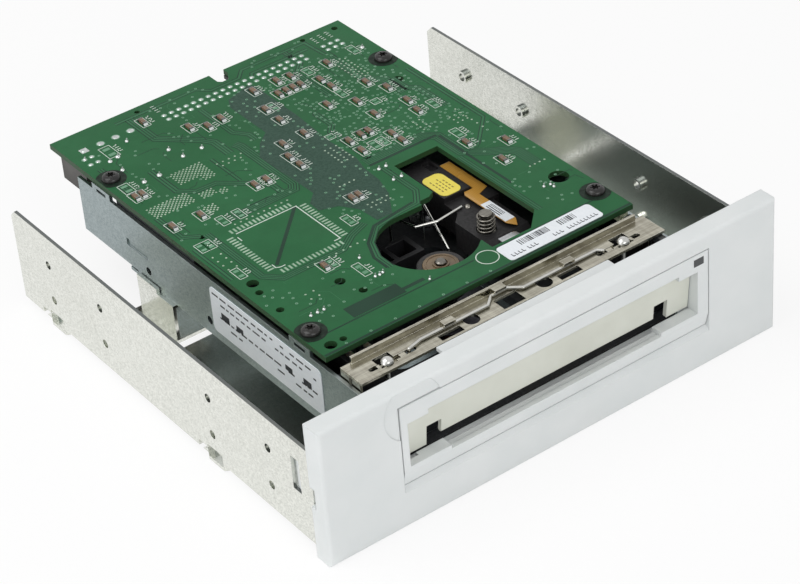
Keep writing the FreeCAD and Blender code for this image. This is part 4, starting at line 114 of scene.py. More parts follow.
# ---------------------------------------------------------------- shader graphs and shared effects
class Graph:
    """A node tree under construction."""

    def __init__(self, tree: bpy.types.NodeTree) -> None:
        """Keep the tree that the nodes go into."""
        self.tree = tree

    def node(self, kind: str, **settings: object) -> bpy.types.Node:
        """Add a node.

        Args:
            kind: The node's type name.
            settings: Properties to set on it.

        Returns:
            The new node.
        """
        made = self.tree.nodes.new(kind)
        for name, value in settings.items():
            setattr(made, name, value)
        return made

    def feed(self, socket: bpy.types.NodeSocket, value: object) -> None:
        """Link a socket, or set it.

        Args:
            socket: The input to fill.
            value: An output socket, a number or a colour.
        """
        if isinstance(value, bpy.types.NodeSocket):
            self.tree.links.new(value, socket)
        elif isinstance(value, tuple) and len(value) == 3 and socket.type == "RGBA":
            socket.default_value = (*value, 1.0)
        else:
            socket.default_value = value

    def math(self, operation: str, first: object, second: object = 0.0) -> bpy.types.NodeSocket:
        """Add a Math node.

        Args:
            operation: The Math node's operation.
            first: First value or socket.
            second: Second value or socket.

        Returns:
            The result's socket.
        """
        made = self.node("ShaderNodeMath", operation=operation)
        self.feed(made.inputs[0], first)
        self.feed(made.inputs[1], second)
        return made.outputs[0]

    def mix(self, share: object, first: object, second: object) -> bpy.types.NodeSocket:
        """Blend two colours.

        Args:
            share: How much of the second, 0 to 1.
            first: Colour or socket at 0.
            second: Colour or socket at 1.

        Returns:
            The blended colour's socket.
        """
        made = self.node("ShaderNodeMix", data_type="RGBA")
        self.feed(made.inputs[0], share)
        self.feed(made.inputs[6], first)
        self.feed(made.inputs[7], second)
        return made.outputs[2]

    def spread(self, value: object, low: float, high: float, start: float = 0.0,
               end: float = 1.0) -> bpy.types.NodeSocket:
        """Map a value from one range to another, with its ends held.

        Args:
            value: The value's socket.
            low: Result at the start of the range.
            high: Result at its end.
            start: Where the range starts.
            end: Where it ends.

        Returns:
            The mapped value's socket.
        """
        made = self.node("ShaderNodeMapRange")
        self.feed(made.inputs["Value"], value)
        made.inputs["From Min"].default_value = start
        made.inputs["From Max"].default_value = end
        made.inputs["To Min"].default_value = low
        made.inputs["To Max"].default_value = high
        return made.outputs["Result"]

    def place(self, stretch: Sequence[float] = (1, 1, 1), turn: Sequence[float] = (0, 0, 0)) -> bpy.types.NodeSocket:
        """Object coordinates, turned and stretched.

        Args:
            stretch: Scale along each axis.
            turn: Rotation about each axis, in degrees.

        Returns:
            The coordinates' socket.
        """
        where = self.node("ShaderNodeTexCoord")
        turned = self.node("ShaderNodeMapping")
        turned.inputs["Rotation"].default_value = [math.radians(a) for a in turn]
        turned.inputs["Scale"].default_value = stretch
        self.feed(turned.inputs["Vector"], where.outputs["Object"])
        return turned.outputs["Vector"]

    def seen(self) -> bpy.types.NodeSocket:
        """Mask that is 1 for rays that see, mirror or look through, and 0 for those that light.

        Returns:
            The mask's socket.
        """
        ray = self.node("ShaderNodeLightPath")
        direct = self.math("MAXIMUM", ray.outputs["Is Camera Ray"], ray.outputs["Is Glossy Ray"])
        return self.math("MAXIMUM", direct, ray.outputs["Is Transmission Ray"])

    def noise(self, where: object, scale: object, detail: float = 4.0, rough: float = 0.5) -> bpy.types.NodeSocket:
        """Add a Noise texture.

        Args:
            where: The coordinates' socket.
            scale: Features per metre, as a number or a socket.
            detail: Octaves.
            rough: Weight of the fine octaves.

        Returns:
            The noise value's socket.
        """
        made = self.node("ShaderNodeTexNoise")
        self.feed(made.inputs["Vector"], where)
        self.feed(made.inputs["Scale"], scale)
        made.inputs["Detail"].default_value = detail
        made.inputs["Roughness"].default_value = rough
        return made.outputs["Fac"]


class Effect(Enum):
    """The shared effects, each a node group of its own."""

    MOULDED = "moulded_grain"
    BRUSHED = "brushed_lines"
    SPANGLE = "zinc_spangle"
    CAST = "cast_skin"
    FIBRE = "paper_fibre"
    SMUDGE = "handling_smudges"
    EDGE = "soft_edge"


class EffectLibrary:
    """Builds each shared effect once and hands it out."""

    def __init__(self) -> None:
        """Start with no groups built."""
        self.groups: dict[Effect, bpy.types.NodeTree] = {}

    def get(self, effect: Effect) -> bpy.types.NodeTree:
        """Give an effect's group, and build it the first time.

        Args:
            effect: Which effect.

        Returns:
            Its node group.
        """
        if effect not in self.groups:
            self.groups[effect] = getattr(self, "_" + effect.value)()
        return self.groups[effect]

    @staticmethod
    def _shell(effect: Effect, inputs: Sequence[tuple[str, float]], outputs: Sequence[str]
               ) -> tuple[Graph, bpy.types.Node, bpy.types.Node]:
        """Make an empty group with its sockets.

        Args:
            effect: The effect it is for.
            inputs: Name and default of each number that goes in.
            outputs: Names of the values that come out.

        Returns:
            The graph, its input node and its output node.
        """
        tree = bpy.data.node_groups.new(effect.value, "ShaderNodeTree")
        for name, default in inputs:
            made = tree.interface.new_socket(name=name, in_out="INPUT", socket_type="NodeSocketFloat")
            made.default_value = default
        for name in outputs:
            kind = "NodeSocketVector" if name == "Normal" else "NodeSocketFloat"
            tree.interface.new_socket(name=name, in_out="OUTPUT", socket_type=kind)
        graph = Graph(tree)
        return graph, graph.node("NodeGroupInput"), graph.node("NodeGroupOutput")

    @staticmethod
    def _give(graph: Graph, result: bpy.types.Node, height: bpy.types.NodeSocket, mask: bpy.types.NodeSocket
              ) -> bpy.types.NodeTree:
        """Hand out a grain's height and mask, and return its group."""
        graph.feed(result.inputs["Height"], height)
        graph.feed(result.inputs["Mask"], mask)
        return graph.tree

    def _moulded_grain(self) -> bpy.types.NodeTree:
        """Fine even texture of moulded plastic."""
        graph, given, result = self._shell(Effect.MOULDED, [("Scale", 1500.0)], ("Mask", "Height"))
        where = graph.place()
        fine = graph.noise(where, given.outputs["Scale"], 2.0, 0.5)
        broad = graph.noise(where, 60.0, 3.0, 0.5)
        return self._give(graph, result, fine, graph.spread(broad, 0.0, 1.0, 0.35, 0.65))

    def _brushed_lines(self) -> bpy.types.NodeTree:
        """Long fine scratches of rolled or brushed sheet; on the nickel plate their strong shade also paints dark
        reflections.
        """
        graph, given, result = self._shell(Effect.BRUSHED, [("Scale", 900.0)], ("Mask", "Height"))
        lines = graph.noise(graph.place((0.06, 1.0, 1.0), (20, 25, 35)), given.outputs["Scale"], 5.0, 0.65)
        cross = graph.noise(graph.place((1.0, 0.1, 1.0), (0, 0, 40)), given.outputs["Scale"], 3.0, 0.5)
        both = graph.math("ADD", graph.math("MULTIPLY", lines, 0.75), graph.math("MULTIPLY", cross, 0.25))
        return self._give(graph, result, both, graph.spread(both, 0.0, 1.0, 0.38, 0.62))

    def _zinc_spangle(self) -> bpy.types.NodeTree:
        """Fine crystals of a zinc coating, with rolling lines across them."""
        graph, given, result = self._shell(Effect.SPANGLE, [("Scale", 420.0)], ("Mask", "Height"))
        cells = graph.node("ShaderNodeTexVoronoi", feature="F1")
        graph.feed(cells.inputs["Vector"], graph.place((1.0, 0.55, 1.0), (0, 30, 40)))
        graph.feed(cells.inputs["Scale"], given.outputs["Scale"])
        tone = graph.node("ShaderNodeSeparateColor")
        graph.feed(tone.inputs[0], cells.outputs["Color"])
        lines = graph.noise(graph.place((0.12, 1.0, 0.6), (0, 20, 50)), 900.0, 4.0, 0.6)
        both = graph.math("ADD", graph.math("MULTIPLY", tone.outputs[0], 0.7),
                          graph.math("MULTIPLY", graph.spread(lines, 0.0, 1.0, 0.35, 0.65), 0.3))
        return self._give(graph, result, both, both)

    def _cast_skin(self) -> bpy.types.NodeTree:
        """Lumpy skin of a casting or of pressed ferrite."""
        graph, given, result = self._shell(Effect.CAST, [("Scale", 700.0)], ("Mask", "Height"))
        skin = graph.noise(graph.place(), given.outputs["Scale"], 6.0, 0.7)
        return self._give(graph, result, skin, graph.spread(skin, 0.0, 1.0, 0.4, 0.6))

    def _paper_fibre(self) -> bpy.types.NodeTree:
        """Fibres of label paper."""
        graph, given, result = self._shell(Effect.FIBRE, [("Scale", 1800.0)], ("Mask", "Height"))
        fibre = graph.noise(graph.place((1.0, 0.4, 0.7), (10, 15, 30)), given.outputs["Scale"], 5.0, 0.7)
        return self._give(graph, result, fibre, graph.spread(fibre, 0.0, 1.0, 0.35, 0.7))

    def _handling_smudges(self) -> bpy.types.NodeTree:
        """Broad soft patches left by hands and dust."""
        graph, given, result = self._shell(Effect.SMUDGE, [("Scale", 45.0), ("Cover", 0.5)], ("Mask",))
        patch = graph.noise(graph.place(), given.outputs["Scale"], 6.0, 0.62)
        lifted = graph.math("SUBTRACT", graph.math("ADD", patch, given.outputs["Cover"]), 1.0)
        graph.feed(result.inputs["Mask"], graph.spread(lifted, 0.0, 1.0, 0.0, 0.16))
        return graph.tree

    def _soft_edge(self) -> bpy.types.NodeTree:
        """Rounded normal at sharp edges, and a mask of those edges."""
        graph, given, result = self._shell(Effect.EDGE, [("Radius", 0.0002)], ("Mask", "Normal"))
        round_over = graph.node("ShaderNodeBevel", samples=4)
        graph.feed(round_over.inputs["Radius"], given.outputs["Radius"])
        flat = graph.node("ShaderNodeNewGeometry")
        dot = graph.node("ShaderNodeVectorMath", operation="DOT_PRODUCT")
        graph.feed(dot.inputs[0], round_over.outputs["Normal"])
        graph.feed(dot.inputs[1], flat.outputs["Normal"])
        broken = graph.noise(graph.place(), 900.0, 3.0, 0.6)
        edge = graph.spread(dot.outputs["Value"], 1.0, 0.0, 0.90, 0.995)
        graph.feed(result.inputs["Mask"], graph.math("MULTIPLY", edge, graph.spread(broken, 0.2, 1.0, 0.35, 0.6)))
        graph.feed(result.inputs["Normal"], round_over.outputs["Normal"])
        return graph.tree


EFFECTS = EffectLibrary()


@dataclass(frozen=True)
class Finish:
    """One surface finish and the numbers that set it apart.

    Attributes:
        name: The material's name.
        colour: Main colour.
        shade: Second colour that the grain brings in.
        texture: The grain.
        grain: Grain features per metre.
        relief: Height of the grain in millimetres.
        metal: 1 for bare metal, else 0.
        rough: Roughness.
        rough_spread: How much the grain changes the roughness.
        edge: Radius of the softened edges in millimetres.
        edge_colour: Colour of worn edges.
        edge_wear: How much of the worn colour shows.
        smudge: How much the smudges darken.
        smudge_colour: Their colour.
        coat: Clear coat, 0 to 1.
        clear: Light that passes through, 0 to 1.
        glow_through: Subsurface weight, 0 to 1.
        shine: Specular level, 0.5 for common plastic.
    """

    name: str
    colour: Colour
    shade: Colour
    texture: Effect = Effect.MOULDED
    grain: float = 1500.0
    relief: float = 0.01
    metal: float = 0.0
    rough: float = 0.5
    rough_spread: float = 0.08
    edge: float = 0.2
    edge_colour: Colour = (0.8, 0.8, 0.8)
    edge_wear: float = 0.0
    smudge: float = 0.15
    smudge_colour: Colour = (0.12, 0.11, 0.09)
    coat: float = 0.0
    clear: float = 0.0
    glow_through: float = 0.0
    shine: float = 0.5

    def effect(self, graph: Graph, effect: Effect, **values: float) -> bpy.types.Node:
        """Place a shared effect in the material.

        Args:
            graph: The material's graph.
            effect: Which effect.
            values: Values for its inputs.

        Returns:
            The group node.
        """
        made = graph.node("ShaderNodeGroup")
        made.node_tree = EFFECTS.get(effect)
        for name, value in values.items():
            made.inputs[name].default_value = value
        return made

    def base(self, graph: Graph, grain: bpy.types.Node) -> bpy.types.NodeSocket:
        """The colour before smudges and wear."""
        return graph.mix(grain.outputs["Mask"], self.colour, self.shade)

    def build(self) -> bpy.types.Material:
        """Make the material, or give the one already made.

        Returns:
            The material.
        """
        known = bpy.data.materials.get(self.name + "_look")
        if known:
            return known
        material = bpy.data.materials.new(self.name + "_look")
        material.use_nodes = True
        graph = Graph(material.node_tree)
        material.node_tree.nodes.clear()
        shader = graph.node("ShaderNodeBsdfPrincipled")
        surface = graph.node("ShaderNodeOutputMaterial")
        graph.feed(surface.inputs["Surface"], shader.outputs["BSDF"])
        grain = self.effect(graph, self.texture, Scale=self.grain)
        colour = self.base(graph, grain)
        if self.smudge:
            smudges = self.effect(graph, Effect.SMUDGE)
            colour = graph.mix(graph.math("MULTIPLY", smudges.outputs["Mask"], self.smudge), colour,
                               self.smudge_colour)
        edge = self.effect(graph, Effect.EDGE, Radius=self.edge * MM)
        if self.edge_wear:
            colour = graph.mix(graph.math("MULTIPLY", edge.outputs["Mask"], self.edge_wear), colour,
                               self.edge_colour)
        graph.feed(shader.inputs["Base Color"], colour)
        graph.feed(shader.inputs["Roughness"],
                   graph.spread(grain.outputs["Mask"], self.rough - self.rough_spread, self.rough + self.rough_spread))
        bump = graph.node("ShaderNodeBump")
        bump.inputs["Distance"].default_value = self.relief * MM
        graph.feed(bump.inputs["Height"], grain.outputs["Height"])
        graph.feed(bump.inputs["Normal"], edge.outputs["Normal"])
        graph.feed(shader.inputs["Normal"], bump.outputs["Normal"])
        shader.inputs["Metallic"].default_value = self.metal
        shader.inputs["Specular IOR Level"].default_value = self.shine
        shader.inputs["Coat Weight"].default_value = self.coat
        shader.inputs["Transmission Weight"].default_value = self.clear
        shader.inputs["Subsurface Weight"].default_value = self.glow_through
        shader.inputs["Subsurface Scale"].default_value = 0.4 * MM
        return material


@dataclass(frozen=True)
class LaminateFinish(Finish):
    """Solder-masked laminate, whose cut edges show the bare green glass fibre.

    Attributes:
        cut_colour: Colour of the upright faces, the cut edges among them.
    """

    cut_colour: Colour = (0.05, 0.12, 0.05)

    def base(self, graph: Graph, grain: bpy.types.Node) -> bpy.types.NodeSocket:
        """Mask colour on the faces that look up or down, a darker green on the upright faces."""
        weave = graph.noise(graph.place((1.0, 1.0, 1.0)), 260.0, 3.0, 0.6)
        patches = graph.noise(graph.place(), 28.0, 2.0, 0.5)
        face = graph.mix(graph.spread(weave, 0.0, 0.35, 0.4, 0.7), self.colour, self.shade)
        face = graph.mix(graph.spread(patches, 0.0, 0.5, 0.4, 0.62), face, self.shade)
        where = graph.node("ShaderNodeNewGeometry")
        parts = graph.node("ShaderNodeSeparateXYZ")
        graph.feed(parts.inputs[0], where.outputs["Normal"])
        upright = graph.spread(graph.math("ABSOLUTE", parts.outputs["Z"]), 1.0, 0.0, 0.4, 0.7)
        return graph.mix(upright, face, self.cut_colour)


@dataclass(frozen=True)
class StripedFinish(Finish):
    """A finish with fine lines along the depth, such as a flat cable's conductors.

    Attributes:
        pitch: Distance between the lines in millimetres.
        line_colour: The lines' colour.
    """

    pitch: float = 0.55
    line_colour: Colour = (0.3, 0.15, 0.03)

    def base(self, graph: Graph, grain: bpy.types.Node) -> bpy.types.NodeSocket:
        """Film colour with conductor lines across its width."""
        wave = graph.node("ShaderNodeTexWave", bands_direction="X")
        graph.feed(wave.inputs["Vector"], graph.place())
        wave.inputs["Scale"].default_value = 0.314 / (self.pitch * MM)
        film = graph.mix(grain.outputs["Mask"], self.colour, self.shade)
        return graph.mix(graph.spread(wave.outputs["Fac"], 0.0, 0.45, 0.45, 0.8), film, self.line_colour)


@dataclass(frozen=True)
class SheetFinish(Finish):
    """Coated sheet whose cut upper edges show the darker bare steel.

    Attributes:
        rim_height: Height above which an upper face counts as a cut edge, in millimetres.
        rim_colour: Colour of the cut edges.
    """

    rim_height: float = 16.0
    rim_colour: Colour = (0.17, 0.18, 0.17)

    def base(self, graph: Graph, grain: bpy.types.Node) -> bpy.types.NodeSocket:
        """Coating colour on the sheet, bare steel on its upper edges."""
        coated = graph.mix(grain.outputs["Mask"], self.colour, self.shade)
        facing = graph.node("ShaderNodeSeparateXYZ")
        graph.feed(facing.inputs[0], graph.node("ShaderNodeNewGeometry").outputs["Normal"])
        place = graph.node("ShaderNodeSeparateXYZ")
        graph.feed(place.inputs[0], graph.place())
        rim = graph.math("MULTIPLY", graph.spread(facing.outputs["Z"], 0.0, 1.0, 0.6, 0.8),
                         graph.spread(place.outputs["Z"], 0.0, 1.0, (self.rim_height - 1) * MM, self.rim_height * MM))
        return graph.mix(rim, coated, self.rim_colour)


METAL = partial(Finish, texture=Effect.BRUSHED, metal=1.0)
THIN = partial(Finish, edge=0.02, smudge=0.0)
PRINTED = partial(Finish, texture=Effect.FIBRE, grain=1800, relief=0.002, rough=0.6, edge=0.01, smudge=0.0)


class Finishes:
    """Every finish of the drive."""

    BEZEL = Finish("bezel_plastic", srgb(225, 228, 228), srgb(220, 224, 224), grain=1400, relief=0.014, rough=0.52,
                   edge=0.3, smudge=0.03, smudge_colour=srgb(150, 150, 142), shine=0.35)
    DOOR = Finish("door_plastic", srgb(217, 219, 209), srgb(210, 212, 201), grain=1600, relief=0.008, rough=0.42,
                  edge=0.15, smudge=0.08, smudge_colour=srgb(140, 138, 120), shine=0.35)
    TRAY = SheetFinish("tray_steel", srgb(238, 239, 232), srgb(206, 208, 200), Effect.SPANGLE, grain=3600,
                       relief=0.002, metal=1.0, rough=0.22, rough_spread=0.05, edge=0.12,
                       edge_colour=srgb(250, 250, 246), edge_wear=0.3, smudge=0.12, smudge_colour=srgb(168, 168, 156),
                       rim_colour=srgb(104, 108, 107))
    CHASSIS = SheetFinish("chassis_steel", srgb(164, 176, 177), srgb(134, 147, 149), Effect.SPANGLE, grain=3600,
                          relief=0.002, metal=1.0, rough=0.34, rough_spread=0.05, edge=0.12,
                          edge_colour=srgb(214, 220, 222), edge_wear=0.5, smudge=0.12,
                          smudge_colour=srgb(96, 104, 104), rim_colour=srgb(150, 158, 158))
    DECK = Finish("deck_casting", srgb(40, 42, 44), srgb(28, 30, 32), Effect.CAST, grain=900, relief=0.03, smudge=0.2,
                  smudge_colour=srgb(64, 64, 60), shine=0.3)
    # Painted reflection: the dark shade along its brushed streaks paints dark reflections on the plate, over its real
    # rolled grain.
    PLATE = METAL("nickel_plate", srgb(190, 187, 173), srgb(148, 144, 131), grain=900, relief=0.004, rough=0.2,
                  rough_spread=0.06, edge=0.18, edge_colour=srgb(248, 246, 236), edge_wear=0.8, smudge=0.4,
                  smudge_colour=srgb(104, 100, 88))
    WIRE = METAL("spring_wire", srgb(205, 204, 198), srgb(186, 186, 182), relief=0.002, rough=0.22, rough_spread=0.06,
                 edge=0.02, smudge=0.1)
    TURNED = METAL("turned_steel", srgb(200, 200, 196), srgb(176, 176, 174), grain=1400, relief=0.003, rough=0.24,
                   rough_spread=0.06, edge=0.08, smudge=0.1)
    WORN = METAL("worn_steel", srgb(134, 131, 124), srgb(106, 103, 97), grain=1300, relief=0.003, rough=0.3, edge=0.1,
                 smudge=0.25, smudge_colour=srgb(60, 56, 50))
    # Painted shade: a darker copy of the solder metal, so that the tinned chip ends look shaded.
    TIN = Finish("tinned_end", srgb(128, 130, 128), srgb(96, 98, 97), Effect.CAST, grain=1700, relief=0.006, metal=1.0,
                 rough=0.3, edge=0.04, smudge=0.0)
    SCREW = METAL("zinc_screw", srgb(176, 176, 170), srgb(150, 150, 146), grain=1400, relief=0.004, rough=0.32,
                  edge=0.1, smudge=0.2)
    BLACK_SCREW = Finish("black_screw", srgb(26, 24, 24), srgb(17, 16, 16), Effect.CAST, relief=0.006, rough=0.26,
                         shine=0.4, edge=0.12, edge_colour=srgb(104, 100, 96), edge_wear=0.35, smudge=0.1,
                         smudge_colour=srgb(60, 54, 48))
    BOARD = LaminateFinish("board_laminate", srgb(36, 98, 58), srgb(28, 84, 48), grain=900, relief=0.006, rough=0.36,
                           rough_spread=0.05, edge=0.08, smudge=0.12, smudge_colour=srgb(48, 74, 54), shine=0.12,
                           cut_colour=srgb(44, 74, 46))
    COPPER_GAP = THIN("mask_over_gap", srgb(16, 56, 38), srgb(12, 48, 32), grain=900, relief=0.002, rough=0.36,
                      shine=0.18)
    COPPER_BAND = THIN("mask_over_band", srgb(44, 76, 62), srgb(34, 64, 50), texture=Effect.CAST, relief=0.004,
                       rough=0.38, shine=0.18)
    COPPER_LINE = THIN("mask_over_line", srgb(42, 106, 66), srgb(38, 98, 60), grain=900, relief=0.002, rough=0.36,
                       shine=0.18)
    VIA = THIN("tented_via", srgb(112, 158, 128), srgb(92, 140, 108), grain=1800, relief=0.004, rough=0.38, shine=0.3)
    BARE_VIA = THIN("bare_via", srgb(170, 190, 168), srgb(142, 166, 142), grain=1800, relief=0.006, rough=0.32,
                    shine=0.6)
    # Painted shade: the dark middle of each via, standing for the shade inside its hole.
    HOLE = THIN("hole_dark", srgb(18, 40, 28), srgb(12, 28, 20), relief=0.002, rough=0.6)
    SOLDER = Finish("solder", srgb(206, 210, 208), srgb(176, 182, 180), Effect.CAST, grain=1600, metal=1.0, rough=0.26,
                    edge=0.05, smudge=0.0)
    PRINT = THIN("board_print", srgb(214, 222, 214), srgb(190, 204, 192), texture=Effect.FIBRE, grain=1600,
                 relief=0.003, rough=0.6)
    CERAMIC = Finish("chip_ceramic", srgb(126, 100, 78), srgb(100, 80, 62), Effect.CAST, grain=1800, relief=0.004,
                     rough=0.4, edge=0.08, smudge=0.1)
    BLACK_PLASTIC = Finish("black_plastic", srgb(26, 26, 28), srgb(20, 20, 22), rough=0.46,
                           edge_colour=srgb(70, 70, 72), edge_wear=0.3, smudge=0.1, smudge_colour=srgb(60, 58, 54))
    CARRIAGE = Finish("carriage_plastic", srgb(33, 32, 33), srgb(24, 23, 24), Effect.CAST, grain=1200, relief=0.012,
                      edge=0.25, edge_colour=srgb(78, 76, 74), edge_wear=0.3, smudge=0.12,
                      smudge_colour=srgb(58, 55, 50), shine=0.3)
    EPOXY = Finish("chip_epoxy", srgb(40, 40, 42), srgb(32, 32, 34), Effect.CAST, grain=1800, relief=0.006, rough=0.55,
                   edge=0.1, smudge=0.08)
    CAN = METAL("can_aluminium", srgb(196, 197, 198), srgb(178, 180, 182), grain=1200, relief=0.003, rough=0.3,
                edge=0.15, smudge=0.1)
    NYLON = Finish("natural_nylon", srgb(222, 217, 198), srgb(212, 206, 186), grain=1200, relief=0.006, rough=0.4,
                   edge=0.15, smudge=0.08, glow_through=0.15)
    GOLD = METAL("pin_plating", srgb(212, 184, 118), srgb(190, 160, 96), relief=0.002, rough=0.26, edge=0.05,
                 smudge=0.05)
    LENS = Finish("lens_smoke", srgb(50, 54, 57), srgb(42, 46, 49), relief=0.002, rough=0.14, rough_spread=0.03,
                  edge=0.1, smudge=0.0, coat=0.3, clear=0.1)
    PIPE_LAMP = Finish("lamp_resin", srgb(214, 220, 190), srgb(200, 206, 176), relief=0.002, rough=0.12,
                       rough_spread=0.03, edge=0.1, smudge=0.0, clear=0.5)
    ROLLER = Finish("roller_nylon", srgb(196, 194, 186), srgb(180, 178, 170), relief=0.004, rough=0.38, edge=0.12,
                    smudge=0.1)
    HUB = Finish("hub_plastic", srgb(124, 104, 76), srgb(104, 86, 62), Effect.BRUSHED, grain=900, relief=0.006,
                 rough=0.3, edge=0.12, smudge=0.25, smudge_colour=srgb(60, 50, 36))
    TYRE = Finish("tyre_rubber", srgb(34, 33, 33), srgb(26, 25, 25), Effect.CAST, grain=1600, relief=0.012, rough=0.62,
                  smudge=0.1, smudge_colour=srgb(80, 76, 70))
    BRONZE = Finish("bush_bronze", srgb(176, 134, 84), srgb(150, 112, 70), Effect.CAST, grain=1600, relief=0.006,
                    metal=1.0, rough=0.4, edge=0.1, smudge=0.1)
    COPPER = METAL("coil_copper", srgb(178, 96, 52), srgb(150, 76, 40), grain=1600, relief=0.03, rough=0.3, edge=0.1,
                   smudge=0.05)
    FERRITE = Finish("rotor_ferrite", srgb(70, 70, 74), srgb(58, 58, 62), Effect.CAST, grain=1300, metal=1.0,
                     rough=0.45, smudge=0.1)
    HEAD = METAL("head_metal", srgb(188, 190, 192), srgb(166, 168, 170), relief=0.003, rough=0.24, edge=0.12,
                 smudge=0.1)
    FLEX = StripedFinish("flex_film", srgb(204, 156, 74), srgb(190, 142, 62), grain=1400, relief=0.004, rough=0.26,
                         edge=0.03, smudge=0.05, coat=0.3, line_colour=srgb(172, 122, 50))
    PAPER = Finish("label_paper", srgb(236, 240, 244), srgb(228, 233, 238), Effect.FIBRE, grain=1800, relief=0.004,
                   rough=0.55, edge=0.03, smudge=0.06, smudge_colour=srgb(160, 160, 150))
    STICKER = Finish("sticker_paper", srgb(242, 226, 98), srgb(236, 218, 86), Effect.FIBRE, grain=1600, relief=0.004,
                     rough=0.45, edge=0.03, smudge=0.08, smudge_colour=srgb(150, 130, 60))
    INK = PRINTED("label_ink", srgb(34, 38, 44), srgb(26, 30, 36))
    FAINT_INK = PRINTED("faint_ink", srgb(150, 132, 60), srgb(136, 118, 52))
    OILED = Finish("oiled_ring", srgb(26, 42, 32), srgb(16, 28, 20), Effect.CAST, grain=900, relief=0.004, edge=0.03,
                   smudge=0.0, shine=0.15)
    CONNECTOR = Finish("connector_grey", srgb(74, 71, 68), srgb(62, 60, 58), smudge_colour=srgb(40, 38, 36),
                       shine=0.35)


NODE_FINISHES: dict[Finish, tuple[str, ...]] = {
    Finishes.BEZEL: ("outer_bezel", "inner_bezel"),
    Finishes.DOOR: ("door_flap",),
    Finishes.TRAY: ("mounting_tray",),
    Finishes.CHASSIS: ("drive_chassis",),
    Finishes.DECK: ("deck_frame",),
    Finishes.PLATE: ("front_plate", "latch_carrier_left", "latch_carrier_right"),
    Finishes.WIRE: ("latch_wire", "door_spring", "mechanism_springs", "post_spring"),
    Finishes.TURNED: ("door_pin", "latch_pin_left", "latch_pin_right", "arm_pivot_pin", "lead_screw"),
    Finishes.WORN: ("capstan_shaft", "carriage_rivet", "guide_posts"),
    Finishes.SCREW: ("tray_drive_screws", "deck_screws"),
    Finishes.BLACK_SCREW: ("board_screws",),
    Finishes.BOARD: ("circuit_board",),
    Finishes.CERAMIC: ("surface_capacitors",),
    Finishes.EPOXY: ("controller_chips",),
    Finishes.CAN: ("filter_capacitors", "clock_crystal", "head_stepper"),
    Finishes.CONNECTOR: ("power_connector",),
    Finishes.NYLON: ("cartridge_in_plunger", "write_lock_plunger"),
    Finishes.GOLD: ("power_pins", "header_pins", "jumper_pins"),
    Finishes.BLACK_PLASTIC: ("cartridge_guide_left", "cartridge_guide_right", "data_header", "jumper_header",
                             "jumper_cap", "motor_arm", "sense_switches", "tape_sensor"),
    Finishes.CARRIAGE: ("head_carriage",),
    Finishes.LENS: ("activity_lens",),
    Finishes.PIPE_LAMP: ("activity_lamp",),
    Finishes.ROLLER: ("latch_roller_left", "latch_roller_right"),
    Finishes.HUB: ("capstan_hub",),
    Finishes.TYRE: ("capstan_tyre",),
    Finishes.BRONZE: ("arm_bushes",),
    Finishes.COPPER: ("motor_coils",),
    Finishes.FERRITE: ("capstan_rotor",),
    Finishes.HEAD: ("magnetic_head",),
    Finishes.FLEX: ("carriage_flex",),
    Finishes.PAPER: ("flex_label", "side_label", "board_label"),
    Finishes.STICKER: ("carriage_sticker",),
}


# ---------------------------------------------------------------- places and meshes
@dataclass(frozen=True)
class Datum:
    """Millimetre places measured from the bezel's face, the middle plane and the bezel's lower edge.

    Attributes:
        front: The bezel's face along Y in the frame, in metres.
        low: The bezel's lower edge along Z in the frame, in metres.
    """

    front: float
    low: float

    def at(self, x: float, y: float, z: float) -> Vector:
        """Turn a place in millimetres into the frame."""
        return Vector((x * MM, self.front + y * MM, self.low + z * MM))

    def of(self, point: Vector) -> Place:
        """Turn a point of the frame into millimetre places."""
        return point.x / MM, (point.y - self.front) / MM, (point.z - self.low) / MM

    def span(self, low: Vector, high: Vector) -> tuple[Place, Place]:
        """Turn the two corners of a box into millimetre places."""
        return self.of(low), self.of(high)


def solids_of(node: bpy.types.Object) -> list[Box]:
    """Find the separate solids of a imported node.

    Args:
        node: The node's object.

    Returns:
        The lowest and highest corner of each solid, from left to right.
    """
    mesh = bmesh.new()
    mesh.from_mesh(node.data)
    bmesh.ops.remove_doubles(mesh, verts=mesh.verts[:], dist=0.002 * MM)
    seen: set[int] = set()
    boxes: list[Box] = []
    mesh.verts.ensure_lookup_table()
    for start in mesh.verts:
        if start.index in seen:
            continue
        seen.add(start.index)
        queue, found = [start], []
        while queue:
            here = queue.pop()
            found.append(here.co)
            for edge in here.link_edges:
                other = edge.other_vert(here)
                if other.index not in seen:
                    seen.add(other.index)
                    queue.append(other)
        boxes.append((Vector([min(c[i] for c in found) for i in range(3)]),
                      Vector([max(c[i] for c in found) for i in range(3)])))
    mesh.free()
    return sorted(boxes, key=lambda box: tuple(round(v, 5) for v in box[0]))


def circle(sides: int) -> list[Point]:
    """Give the points of a circle of radius 1."""
    return [(math.cos(angle), math.sin(angle)) for angle in (math.tau * i / sides for i in range(sides))]


def bands(rings: int, sides: int, closed: bool = False) -> list[tuple[int, ...]]:
    """Give the faces between rings of points that follow one another."""
    return [(k * sides + i, k * sides + (i + 1) % sides, (k + 1) % rings * sides + (i + 1) % sides,
             (k + 1) % rings * sides + i) for k in range(rings if closed else rings - 1) for i in range(sides)]


def lids(rings: int, sides: int) -> list[tuple[int, ...]]:
    """Give the faces that close the first and the last ring."""
    return [tuple(reversed(range(sides))), tuple(range((rings - 1) * sides, rings * sides))]


@dataclass(frozen=True)
class Bend:
    """Stretch over which a piece passes from one body to another.

    Attributes:
        other: The body that it reaches.
        start: Where it leaves its own body, in the frame.
        end: Where it wholly follows the other one.
    """

    other: str
    start: Sequence[float]
    end: Sequence[float]

    def apply(self, piece: bpy.types.Object, body: str) -> None:
        """Bake the piece's place into its mesh; it is neither bent nor attached to a body."""
        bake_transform(piece)


